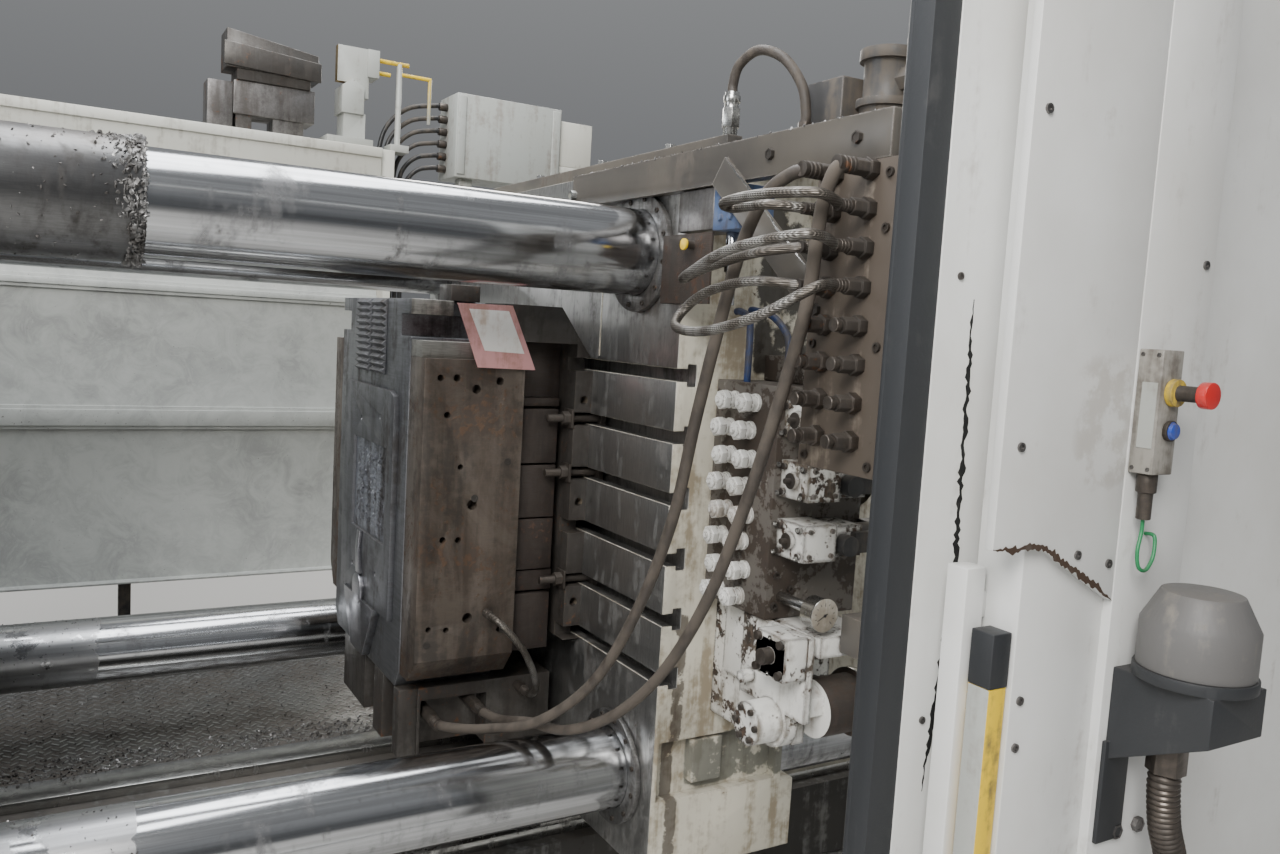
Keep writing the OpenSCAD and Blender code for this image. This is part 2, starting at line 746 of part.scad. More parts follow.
module palm_switch() {
    color("dimgray") {
        plate_yz([245, 385], [[cover_y - seat, switch_z[0]], [cover_y - seat, switch_z[1]],
            [switch_y - 70, switch_z[1]], [switch_y - 70, switch_z[0] + 77]]);
        bar_z(switch_x, switch_y, [switch_z[1], switch_z[1] + 18], switch_r + 4);
        block([236, 300], [cover_y - 8, cover_y - seat], [870, switch_z[0] + 32]);
    }
    color("gray")
        translate([switch_x, switch_y, switch_z[1] + 18 + seat]) {
            cylinder(h = 70, r = switch_r);
            translate([0, 0, 70])
                cylinder(h = 50, r1 = switch_r, r2 = switch_r - 26);
        }
    color("silver")
        bar_z(conduit_x, -1868, [1005, switch_z[0] + 52], 30, hex);
}

module conduit() {
    color("gray")
        swept_tube(conduit_route, 25, 2, 12);
}

module door_leaf() {
    color("whitesmoke") {
        block([door_x, door_x + 77], [-door_y - door_t, -door_y], [70, guard_h]);
        block([door_x + 77, door_w - 90], [-door_y - door_t, -door_y - door_t + 20], [70, guard_h]);
        block([door_w - 150, door_w - 90], [-door_y - door_t, -door_y], [70, guard_h]);
        for (z = [70, guard_h - 60])
            block([door_x + 70, door_w - 120], [-door_y - door_t, -door_y], [z, z + 60]);
        for (x = [160, door_w - 260]) {
            block([x, x + 100], [-door_y - 12, -door_y], [guard_h - 40, track_z + wheel_r + 20]);
            bar_y(x + 50, [-door_y - 44, -door_y], track_z + seat + wheel_r, wheel_r);
        }
    }
}

module door_seal() {
    color("darkslategray") {
        block([door_x - seal_w, door_x - seat], [-door_y - door_t + 2, -door_y - 18], [80, guard_h - 20]);
        bar_z(door_x - seal_w + 14, -door_y - 14, [80, guard_h - 20], 14, 24);
    }
}

// Moving platen and what rides on it

module moving_platen() {
    color("lightgray")
        difference() {
            union() {
                block([0, moving_platen_t], [-platen_y, platen_y], [platen_low_z, platen_high_z]);
                for (s = [-1, 1])
                    block([0, foot_x], s < 0 ? [-platen_y, -platen_y + 150] : [platen_y - 150, platen_y],
                        [platen_low_z, recess_z[0] - 10]);
            }
            bar_holes([-cut, foot_x + cut], bush_r + seat);
            t_slots(0, 1);
            for (s = [-1, 1])
                translate([0, s * platen_y, 0])
                    difference() {
                        block([14, moving_platen_t - 20], [-recess_depth, recess_depth], recess_z);
                        block([110, 193], [-recess_depth - cut, recess_depth + cut],
                            [recess_z[0] + 30, recess_z[1] - 6]);
                    }
            block([-cut, 8], [-480, -474], [clamp_high_z + 20, platen_high_z + cut]);
        }
    // The two slide shoes
    color("darkgray")
        for (s = [-1, 1])
            block([-60, foot_x + 60], [s * rail_y - rail_w / 2, s * rail_y + rail_w / 2],
                [rail_top_z + seat, platen_low_z - seat]);
}

module bar_bushes() {
    color("dimgray")
        difference() {
            union() {
                bar_holes([-wiper_proud, moving_platen_t + wiper_l], bush_r);
                bar_holes([-wiper_proud, -seat], wiper_r);
            }
            bar_holes([-wiper_proud - cut, moving_platen_t + wiper_l + cut], bar_r + running);
        }
}

module clamp_plate() {
    color("dimgray")
        difference() {
            plate_xz([-clamp_y, clamp_y],
                [[box_back_x, clamp_low_z], [0, clamp_low_z], [0, clamp_high_z], [-96, die_high_z],
                [-250, die_high_z], [-250, box_rail_z], [box_back_x, box_rail_z]]);
            for (k = [-2.5 : 1 : 2.5])
                for (s = [-1, 1])
                    translate([0, s * clamp_y, axis_z + k * slot_pitch])
                        block([-300, cut], [-50, 50], [-17, 17]);
            for (z = [931, 1195, 1458])
                for (s = [-1, 1])
                    bar_y(-22, s < 0 ? [-clamp_y - cut, -clamp_y + 30] : [clamp_y - 30, clamp_y + cut], z, 11);
            block([-260, parting_x + die_depth - clamp_plate_t - 70], [-die_y - seat, die_y + seat],
                [box_rail_z - cut, die_high_z + cut]);
        }
}

module ejector_box() {
    color("dimgray") {
        block([box_front_x + seat, box_back_x - seat], [-box_y + 20, box_y - 20], [800, box_rail_z - seat]);
        for (s = [-1, 1])
            for (z = panels)
                block([box_front_x + seat, box_back_x - 20], s < 0 ? [-box_y - panel_t, -box_y + 20 - seat]
                    : [box_y - 20 + seat, box_y + panel_t], z);
        for (s = [-1, 1])
            for (z = slim_panels)
                block([box_front_x + seat, box_back_x - 14], s < 0 ? [-box_y - panel_t + 8, -box_y + 20 - seat]
                    : [box_y - 20 + seat, box_y + panel_t - 8], z);
    }
}

module die_block() {
    color("slategray") {
        difference() {
            plate_yz([parting_x, box_front_x],
                [[-die_y + 30, die_low_z], [die_y - 30, die_low_z], [die_y, die_low_z + 45], [die_y, die_high_z],
                [-die_y, die_high_z], [-die_y, die_low_z + 45]]);
            for (s = [-1, 1])
                translate([0, s * die_y, 0])
                    block([parting_x - cut, box_front_x + cut], [-80, 80], [core_lip[1] + 7, die_high_z - 38]);
            for (s = [-1, 1])
                translate([0, s * die_y, 0])
                    block([parting_x + 108, box_front_x + cut], [-60, 60], [die_high_z - 40, die_high_z + cut]);
        }
        block([-330, -252], [-290, -200], [die_high_z + seat, die_high_z + 42]);
        block([parting_x + seat, parting_x + 49], leg_front_y, [leg_low_z, die_low_z - seat]);
        block([parting_x + seat, parting_x + 40], [-190, -110], [leg_low_z, die_low_z - seat]);
        block([parting_x + seat, parting_x + 70], [-20, 200], [leg_low_z + 20, die_low_z - seat]);
        difference() {
            block([parting_x + 49 + seat, -20], [-die_y - 10, die_y], [leg_low_z, die_low_z - seat]);
            block([parting_x + 59, parting_x + 237], [-die_y - 20, -die_y + 60], [leg_low_z - cut, die_low_z - 35]);
            block([parting_x, parting_x + 120], [-200, die_y + cut], [leg_low_z - cut, die_low_z - 35]);
        }
    }
}

module die_insert() {
    color("gray") {
        difference() {
            plate_yz([parting_x - insert_proud, parting_x - seat],
                [[insert_y[0], insert_z[0]], [insert_y[1], insert_z[0]], [insert_y[1], insert_z[1]],
                [insert_y[0] + insert_corner, insert_z[1]],
                [insert_y[0] + insert_corner * 0.3, insert_z[1] - insert_corner * 0.3],
                [insert_y[0], insert_z[1] - insert_corner]]);
            block([parting_x - insert_proud - cut, parting_x - insert_proud + cavity_depth], cavity_y, cavity_z);
            for (p = [[-135, 1380], [40, 1360], [-135, 960], [90, 940]])
                bar_x([parting_x - insert_proud - cut, parting_x - insert_proud + cavity_depth], p[0], p[1], 7, 16);
        }
        bar_x([parting_x - insert_proud - 12, parting_x - insert_proud - seat], 0, shot_z - 10, 42);
        plate_yz([parting_x - insert_proud - 10, parting_x - insert_proud - seat],
            [[-18, shot_z + 34], [18, shot_z + 34], [30, 1000], [14, 1052], [-8, 1052], [4, 1000]]);
    }
    color("gray")
        plate_yz([parting_x - 22, parting_x - seat],
            [[-60, die_low_z + 12], [60, die_low_z + 12], [150, insert_z[0] - seat], [-150, insert_z[0] - seat]]);
    chill_vent();
}

// The toothed plates above the insert
module chill_vent() {
    pitch = (vent_z[1] - vent_z[0]) / vent_teeth;
    color("gray")
        for (y = vent_columns)
            translate([0, y[0], 0])
                plate_xz([0, y[1] - y[0]], concat([[parting_x - seat, vent_z[1]], [parting_x - seat, vent_z[0]]],
                    [for (k = [0 : vent_teeth - 1])
                        for (e = [0, 1])
                            [parting_x - (e == 0 ? 3 : vent_depth), vent_z[0] + (k + (e == 0 ? 0 : 0.45)) * pitch]],
                    [[parting_x - 3, vent_z[1]]]));
}

module side_cores() {
    color("sienna") {
        difference() {
            plate_yz([parting_x + 3, box_front_x],
                [[-die_y - seat, die_low_z + 42], [-die_y - 60, die_low_z + 42], [-side_core_y, core_low_z],
                [-side_core_y, core_high_z], [-die_y - seat, core_high_z]]);
            for (b = core_bores)
                bar_y(b[0], [-side_core_y - cut, -side_core_y + core_bore_depth], b[1], b[2], 24);
        }
        plate_yz([parting_x + 3, box_front_x],
            [[die_y + seat, core_low_z], [side_core_y - 60, core_low_z], [side_core_y - 20, core_low_z + 70],
            [side_core_y - 20, core_high_z + 20], [die_y + seat, core_high_z + 20]]);
        block([parting_x + 3, box_front_x], [-core_lip_y, -die_y - seat], core_lip);
    }
}

module die_clamps() {
    color("dimgray")
        for (k = stud_rows)
            for (s = [-1, 1]) {
                bar_x([box_back_x - 66, slot_neck_depth + 2], s * stud_y, axis_z + k * slot_pitch, stud_r, 24);
                bar_x([box_back_x - 24, box_back_x - 6], s * stud_y, axis_z + k * slot_pitch, stud_r + 8, hex);
                block([box_back_x - 6, box_back_x - seat],
                    s < 0 ? [-stud_y - 22, -stud_y + 28] : [stud_y - 28, stud_y + 22],
                    [axis_z + k * slot_pitch - 24, axis_z + k * slot_pitch + 24]);
                block([slot_neck_depth + seat, slot_neck_depth + 16], [s * stud_y - 20, s * stud_y + 20],
                    [axis_z + k * slot_pitch - 22, axis_z + k * slot_pitch + 22]);
            }
}

module die_tag() {
    color("pink")
        plate_xz([-clamp_y - seat - tag_t, -clamp_y - seat], tag_outline);
    color("white")
        plate_xz([-clamp_y - seat - 2 * tag_t, -clamp_y - seat - tag_t - running], sheet_outline);
}

module top_beam() {
    color("dimgray") {
        difference() {
            block([-beam_t, 0], [beam_end_y, -340], beam_z);
            bar_x([-wiper_proud - 1, cut], -bar_y, bar_high_z, wiper_r + 2);
        }
        plate_yz([-beam_t - 8, -beam_t - seat],
            [[-997, beam_z[0]], [-1037, beam_z[0] + 50], [-1320, 1775], [-1340, 1735], [-1280, 1725]]);
        block(top_rail_x, [side_y - 20, 475], [platen_high_z + seat, top_rail_z]);
        bar_x([-beam_t - 14, -beam_t], -355, beam_z[0] + 30, 13, hex);
        for (y = [-600, -250, 150])
            bar_z(top_rail_x[0] + 20, y, [top_rail_z, top_rail_z + 12], 14, hex);
    }
    color("silver") {
        bar_z(100, side_y, [top_rail_z + seat, top_rail_z + 95], 16, 24);
        bar_z(100, side_y, [top_rail_z + 18, top_rail_z + 60], 21, hex);
        bar_z(100, side_y, [top_rail_z + 73, top_rail_z + 87], 19, 24);
    }
}

module coupling_plate() {
    color("tan")
        block([-beam_t, 0], [-1520, -1322], [1420, beam_z[0] - seat]);
    color("tan")
        block([seat, 40], [-1500, -1340], [1500, beam_z[1]]);
}

module hose_fittings() {
    color("dimgray")
        for (k = [0 : coupling_rows - 1])
            for (c = [0, 1]) {
                bar_x([fitting_x, -beam_t - 18], coupling_y - c * coupling_column, coupling_z - k * coupling_pitch,
                    coupling_hex_r - 4, hex);
                bar_x([-beam_t - 18, -beam_t - seat], coupling_y - c * coupling_column, coupling_z - k * coupling_pitch,
                    coupling_hex_r, hex);
            }
    color("dimgray") {
        for (p = lower_fittings)
            bar_y(p[0], [-375, -die_y + 60 - seat], p[1], 17, hex);
        bar_y(-115, [-375, -die_y - 10 - seat], 680, 15, hex);
    }
}

module upper_valves() {
    color("gainsboro") {
        block([top_rail_x[1] + 5, 330 - seat], [side_y - 480, side_y + 60], [platen_high_z + seat, platen_high_z + 30]);
        bar_z(145, side_y - 205, [platen_high_z + 30 + seat, platen_high_z + 62], 16, hex);
        block([175, 320], [side_y - 280, side_y - 170], [platen_high_z + 30 + seat, platen_high_z + 150]);
        block([330, 400], [side_y - 480, side_y - 290], [platen_high_z + 15, platen_high_z + 250]);
        bar_z(230, side_y - 350, [platen_high_z + 30 + seat, platen_high_z + 80], 52, 24);
        bar_z(230, side_y - 350, [platen_high_z + 80, platen_high_z + 95], 60, 24);
        bar_z(230, side_y - 350, [platen_high_z + 95, platen_high_z + 170], 48, 24);
        bar_z(230, side_y - 350, [platen_high_z + 170, platen_high_z + 192], 58, 24);
        bar_y(230, [side_y - 440, side_y - 350], platen_high_z + 130, 24, hex);
        bar_y(190, [side_y - 440, side_y - 380], platen_high_z + 40, 20, hex);
    }
}

module valve_block() {
    color("whitesmoke") {
        block(block_x, [block_y, side_y - seat], block_z);
        block([block_x[0] + 130, block_x[1]], [block_y, side_y - seat], [block_z[1] + seat, block_z[1] + 60]);
    }
}

module port_plugs() {
    color("white")
        for (k = [0 : plug_rows - 1])
            for (c = [0, 1]) {
                y = plug_ys[c] + (k % 2) * plug_stagger;
                z = plug_top_z - k * plug_pitch;
                bar_x([block_x[0] - 20, block_x[0] - seat], y, z, plug_r - 4, 24);
                bar_x([block_x[0] - 42, block_x[0] - 20], y, z, plug_r, hex);
                bar_x([block_x[0] - 52, block_x[0] - 42], y, z, 9, 16);
            }
}

// One valve: end cap with a stop pin, body, turned neck, knob and its ring
module valve(z) {
    block(valve_x, [valve_y[0], valve_y[1] - seat], [z - valve_h / 2, z + valve_h / 2]);
    block([valve_x[1], 292], [valve_y[0] + 10, valve_y[1] - seat], [z - valve_h / 2 + 6, z + valve_h / 2 - 6]);
    bar_x([292, 345], (valve_y[0] + valve_y[1]) / 2, z, 30, 24);
    bar_x([valve_x[0] - 12, valve_x[0]], (valve_y[0] + valve_y[1]) / 2, z, 17, 24);
    bar_x([valve_x[0] - 26, valve_x[0] - 12], (valve_y[0] + valve_y[1]) / 2, z, 6, 16);
    for (dy = [-32, 32])
        for (dz = [-27, 27])
            bar_x([valve_x[0] - 8, valve_x[0]], (valve_y[0] + valve_y[1]) / 2 + dy, z + dz, 7, 16);
}

module directional_valves() {
    color("gainsboro")
        for (k = [0 : 2])
            valve(valve_top_z + 39 - k * valve_pitch);
    color("black")
        for (k = [0 : 2]) {
            z = valve_top_z + 39 - k * valve_pitch;
            bar_y(240, [valve_y[0] - 18, valve_y[0] + 10 - seat], z - 6, 22, 24);
            block([345 + seat, 400], [valve_y[0] + 8, valve_y[1] - 6], [z - 30, z + 30]);
            block([262, 330], [valve_y[0] - 6, valve_y[0] + 10 - seat], [z - 24, z + 20]);
        }
}

module lower_manifold() {
    color("whitesmoke") {
        block([150, 340], [manifold_y, side_y - seat], manifold_z);
        block([118, 134], [port_plate_y, side_y - 150], [866, 1045 - seat]);
        block([134 + seat, 150 - seat], [manifold_y + 10, side_y - 60], [880, 1040]);
        block([60, 118 - seat], [side_y - 368, side_y - 274], [958, 1048]);
        for (dy = [-37, 37])
            for (dz = [-32, 32])
                bar_x([50, 60], side_y - 321 + dy, 1003 + dz, 9, 16);
        bar_x([36, 60], side_y - 321, 1003, 17, 24);
        bar_x([58, 118], side_y - 262, 838, 46, 24);
        bar_x([118, 150 - seat], side_y - 262, 838, 58, 24);
        block([150, 184], [side_y - 300, manifold_y - seat], [790, 848]);
        for (a = [0 : 60 : 300])
            bar_x([50, 58], side_y - 262 + 34 * cos(a), 838 + 34 * sin(a), 7, 12);
        bar_x([88, 118 - seat], side_y - 190, 912, 15, hex);
        block([150, 300], [side_y - 372, manifold_y - seat], [1000, 1044]);
    }
    color("dimgray")
        block([200, 330], [side_y - 440, side_y - 372 - seat], [1010, 1090]);
}

module pipe_coupling() {
    color("sienna") {
        bar_x([150, 186], pipe_y, pipe_z, 38, hex);
        bar_x([186, 290], pipe_y + 5, pipe_z - 18, 62);
        bar_x([290, 306], pipe_y + 5, pipe_z - 18, 74);
        bar_x([306, 318], pipe_y + 5, pipe_z - 18, 68);
        block([186, 300], [pipe_y, manifold_y - seat], [pipe_z - 60, pipe_z]);
    }
}

module pressure_gauge() {
    color("white") {
        bar_y(gauge_x, [side_y - 372, side_y - 336], gauge_z, gauge_d / 2);
        bar_y(gauge_x, [side_y - 376, side_y - 372], gauge_z, gauge_d / 2 + 2);
        bar_y(gauge_x, [side_y - 336, side_y - 320], gauge_z, 9, 16);
        bar_y(gauge_x, [side_y - 320, block_y - seat], gauge_z + 2, 12, 16);
    }
}

module core_cylinder() {
    color("steelblue") {
        block([-22, 58], [side_y - 135, side_y - seat], [1861, 1948]);
        block([-22, 62], [side_y - 230, side_y - 135 - seat], [1858, 1948]);
        for (dy = [-18, 18])
            for (dz = [-20, 20])
                bar_x([-29, -22], side_y - 182 + dy, 1903 + dz, 7, 12);
        bar_z(18, side_y - 155, [1775, 1858 - seat], 15);
        bar_z(18, side_y - 155, [1707, 1775], 11);
    }
}

module sensor_shield() {
    color("saddlebrown") {
        block([-32, -26], [side_y - 150, side_y + 40], [1707, 1855]);
        block([-26, -seat], [side_y + 4, side_y + 40], [1707, 1855]);
        bar_x([-52, -32], side_y - 82, 1830, 9, 16);
        bar_x([-58, -52], side_y - 82, 1830, 12, 16);
    }
}

module long_hoses() {
    color("dimgray") {
        swept_tube(long_front, hose_d / 2, 2);
        swept_tube(long_rear, hose_d / 2, 2);
    }
}

module jumper_hoses() {
    color("darkgray") {
        swept_tube(jumper_a, jumper_d / 2, 2);
        swept_tube(jumper_b, jumper_d / 2, 2);
        swept_tube(jumper_c, jumper_d / 2, 2);
    }
}

module small_hoses() {
    color("gray") {
        swept_tube(die_hose_route, 9, 2);
        swept_tube(blue_a, 8, 2);
        swept_tube(blue_b, 8, 2);
        swept_tube(top_hose_route, 11, 2);
    }
}

bed();
fixed_platen();
tie_bars();
tie_bar_nuts();
tie_bar_sleeve();
cover_die();
shot_sleeve();
injection_frame();
shot_cylinder();
accumulators();
end_platen();
closing_cylinder();
rear_guard_frame();
rear_guard_panels();
chute_plate();
tool_block();
air_unit();
hose_box();
box_hoses();
guard_posts();
door_track();
post_cover();
light_curtain();
button_box();
push_buttons();
button_cable();
palm_switch();
conduit();
door_leaf();
door_seal();
moving_platen();
bar_bushes();
closing_ram();
clamp_plate();
ejector_box();
die_block();
die_insert();
side_cores();
die_clamps();
die_tag();
top_beam();
coupling_plate();
hose_fittings();
upper_valves();
valve_block();
port_plugs();
directional_valves();
lower_manifold();
pipe_coupling();
pressure_gauge();
core_cylinder();
sensor_shield();
long_hoses();
jumper_hoses();
small_hoses();
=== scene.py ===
import json
import math
import random

import bmesh
import bpy
from mathutils import Matrix, Vector
from mathutils.noise import fractal

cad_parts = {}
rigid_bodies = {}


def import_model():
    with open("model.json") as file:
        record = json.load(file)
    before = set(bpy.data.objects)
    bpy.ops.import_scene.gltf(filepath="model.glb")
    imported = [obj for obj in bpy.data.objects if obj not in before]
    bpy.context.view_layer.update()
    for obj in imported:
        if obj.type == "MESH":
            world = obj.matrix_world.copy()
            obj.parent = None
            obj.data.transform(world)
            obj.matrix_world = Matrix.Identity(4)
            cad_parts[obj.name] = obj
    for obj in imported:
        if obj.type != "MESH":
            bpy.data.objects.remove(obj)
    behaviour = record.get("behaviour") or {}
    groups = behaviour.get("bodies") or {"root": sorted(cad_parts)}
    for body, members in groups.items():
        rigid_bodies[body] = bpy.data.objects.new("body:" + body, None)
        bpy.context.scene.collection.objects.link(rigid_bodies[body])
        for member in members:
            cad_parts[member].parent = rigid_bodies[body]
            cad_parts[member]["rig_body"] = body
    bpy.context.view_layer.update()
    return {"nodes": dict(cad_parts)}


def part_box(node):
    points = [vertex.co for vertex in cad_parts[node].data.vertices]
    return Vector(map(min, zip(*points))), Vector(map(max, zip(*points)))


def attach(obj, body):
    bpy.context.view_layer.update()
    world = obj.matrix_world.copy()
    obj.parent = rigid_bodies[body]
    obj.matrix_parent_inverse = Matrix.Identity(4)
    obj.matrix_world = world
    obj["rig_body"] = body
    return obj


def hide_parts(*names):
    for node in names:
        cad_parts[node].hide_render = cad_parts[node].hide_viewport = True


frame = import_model()
NODES = frame["nodes"]
BODY = {n: o["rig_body"] for n, o in NODES.items()}


# Camera, at the place and angle that the tie bars and T-slots in the photo give
CAMERA_PLACE = (-1.21908, -2.76292, 1.64612)
CAMERA_TURN = (30.602, -5.449, 3.36)
LENS_MM, FRAME_MM = 28.66, 36.0


def make_camera():
    """The photo's camera: turned round, down and over by degrees, in that order."""
    yaw, pitch, roll = (math.radians(a) for a in CAMERA_TURN)
    f = Vector((math.sin(yaw) * math.cos(pitch), math.cos(yaw) * math.cos(pitch), math.sin(pitch)))
    r = Vector((math.cos(yaw), -math.sin(yaw), 0.0))
    u = r.cross(f)
    right = math.cos(roll) * r + math.sin(roll) * u
    up = -math.sin(roll) * r + math.cos(roll) * u
    data = bpy.data.cameras.new("camera")
    data.sensor_width = FRAME_MM
    data.lens = LENS_MM
    data.clip_start = 0.05
    data.dof.use_dof = False
    cam = bpy.data.objects.new("camera", data)
    rot = Matrix((right, up, -f)).transposed().to_4x4()
    cam.matrix_world = Matrix.Translation(CAMERA_PLACE) @ rot
    bpy.context.scene.collection.objects.link(cam)
    bpy.context.scene.camera = cam


make_camera()


# Node trees
def node(tree, kind, inputs=None, **props):
    """A new node with its properties, and with each input linked to a socket or set to a value."""
    n = tree.nodes.new(kind)
    for k, v in props.items():
        setattr(n, k, v)
    for k, v in (inputs or {}).items():
        if isinstance(v, bpy.types.NodeSocket):
            tree.links.new(v, n.inputs[k])
        else:
            n.inputs[k].default_value = v
    return n


def rgb(c):
    return (c[0], c[1], c[2], 1.0)


def group(name, ins, outs):
    """A shader node group with inputs (name, kind, value) and outputs (name, kind)."""
    tree = bpy.data.node_groups.new(name, "ShaderNodeTree")
    for label, kind, value in ins:
        s = tree.interface.new_socket(name=label, in_out="INPUT", socket_type=kind)
        if value is not None:
            s.default_value = value
    for label, kind in outs:
        tree.interface.new_socket(name=label, in_out="OUTPUT", socket_type=kind)
    return tree, tree.nodes.new("NodeGroupInput"), tree.nodes.new("NodeGroupOutput")


F, C, V = "NodeSocketFloat", "NodeSocketColor", "NodeSocketVector"


def noise(tree, vector, scale, detail=4.0, rough=0.55, distortion=0.0):
    return node(tree, "ShaderNodeTexNoise", {"Vector": vector, "Scale": scale, "Detail": detail,
                                             "Roughness": rough, "Distortion": distortion}).outputs["Fac"]


def stretch(tree, vector, scale):
    """The vector with each axis times its own scale."""
    return node(tree, "ShaderNodeVectorMath", {0: vector, 1: scale}, operation="MULTIPLY").outputs[0]


def calc(tree, op, a, b=0.0):
    return node(tree, "ShaderNodeMath", {0: a, 1: b}, operation=op).outputs[0]


def ramp(tree, value, lo, hi, a=0.0, b=1.0):
    """A smooth step from a at lo to b at hi."""
    return node(tree, "ShaderNodeMapRange", {"Value": value, "From Min": lo, "From Max": hi, "To Min": a,
                                             "To Max": b}, interpolation_type="SMOOTHSTEP").outputs[0]


def blend(tree, fac, a, b):
    """Colour a, turned into colour b by the factor."""
    n = node(tree, "ShaderNodeMix", {"Factor": fac}, data_type="RGBA")
    for i, v in ((6, a), (7, b)):
        if isinstance(v, bpy.types.NodeSocket):
            tree.links.new(v, n.inputs[i])
        else:
            n.inputs[i].default_value = rgb(v)
    return n.outputs[2]


def make_edge_group():
    """Mask of worn corners: where the rounded normal leaves the true one."""
    t, i, o = group("worn corners", [("Reach", F, 0.006)], [("Mask", F)])
    soft = node(t, "ShaderNodeBevel", {"Radius": i.outputs["Reach"]}, samples=4)
    geo = node(t, "ShaderNodeNewGeometry")
    dot = node(t, "ShaderNodeVectorMath", {0: soft.outputs[0], 1: geo.outputs["Normal"]},
               operation="DOT_PRODUCT")
    t.links.new(ramp(t, dot.outputs["Value"], 0.995, 0.80), o.inputs["Mask"])
    return t


def make_grime_group():
    """Grime: runs down the sides, spots, and dust that lies on faces that look up."""
    t, i, o = group("grime and dust", [("Vector", V, None), ("Color", C, None), ("Grime", C, None),
                                      ("Amount", F, 0.5), ("Dust", F, 0.2)], [("Color", C), ("Mask", F)])
    p = i.outputs["Vector"]
    runs = noise(t, stretch(t, p, (26.0, 26.0, 2.2)), 1.0, 5.0, 0.62)
    cloud = noise(t, p, 4.2, 6.0, 0.68, 0.4)
    spots = noise(t, p, 46.0, 3.0, 0.6)
    mixed = calc(t, "ADD", calc(t, "MULTIPLY", runs, 0.42), calc(t, "MULTIPLY", cloud, 0.46))
    mixed = calc(t, "ADD", mixed, calc(t, "MULTIPLY", spots, 0.18))
    lim = calc(t, "SUBTRACT", 0.66, calc(t, "MULTIPLY", i.outputs["Amount"], 0.30))
    mask = ramp(t, calc(t, "SUBTRACT", mixed, lim), -0.045, 0.085)
    up = node(t, "ShaderNodeSeparateXYZ", {0: node(t, "ShaderNodeNewGeometry").outputs["Normal"]}).outputs["Z"]
    dust = calc(t, "MULTIPLY", ramp(t, up, 0.35, 0.95), calc(t, "MULTIPLY", i.outputs["Dust"],
                                                             ramp(t, cloud, 0.3, 0.6)))
    first = blend(t, calc(t, "MULTIPLY", mask, 0.85), i.outputs["Color"], i.outputs["Grime"])
    t.links.new(blend(t, dust, first, (0.16, 0.14, 0.12)), o.inputs["Color"])
    t.links.new(calc(t, "MAXIMUM", mask, dust), o.inputs["Mask"])
    return t


def make_paint_group():
    """Paint that chips to what is under it, most of all at corners."""
    t, i, o = group("chipped paint", [("Vector", V, None), ("Paint", C, None), ("Under", C, None),
                                      ("Chips", F, 0.3),
                                     ("Size", F, 1.0), ("Corners", F, 0.0)],
                    [("Color", C), ("Bare", F), ("Height", F)])
    p = i.outputs["Vector"]
    big = noise(t, stretch(t, p, (7.0, 7.0, 7.0)), i.outputs["Size"], 9.0, 0.70, 0.25)
    small = noise(t, stretch(t, p, (60.0, 60.0, 60.0)), i.outputs["Size"], 4.0, 0.65)
    shape = calc(t, "ADD", calc(t, "MULTIPLY", big, 0.72), calc(t, "MULTIPLY", small, 0.28))
    shape = calc(t, "ADD", shape, calc(t, "MULTIPLY", i.outputs["Corners"], calc(t, "MULTIPLY", small, 0.36)))
    lim = calc(t, "SUBTRACT", 0.70, calc(t, "MULTIPLY", i.outputs["Chips"], 0.24))
    bare = ramp(t, calc(t, "SUBTRACT", shape, lim), 0.0, 0.012)
    rim = ramp(t, calc(t, "SUBTRACT", shape, lim), -0.016, 0.0)
    tone = blend(t, ramp(t, noise(t, p, 2.4, 5.0, 0.6), 0.25, 0.75, 0.0, 0.25), i.outputs["Paint"],
                 (0.30, 0.26, 0.20))
    edged = blend(t, calc(t, "MULTIPLY", rim, 0.45), tone, (0.10, 0.075, 0.055))
    under = blend(t, ramp(t, small, 0.40, 0.7, 0.0, 0.5), i.outputs["Under"], (0.13, 0.075, 0.045))
    t.links.new(blend(t, bare, edged, under), o.inputs["Color"])
    t.links.new(bare, o.inputs["Bare"])
    t.links.new(calc(t, "SUBTRACT", calc(t, "MULTIPLY", small, 0.15), bare), o.inputs["Height"])
    return t


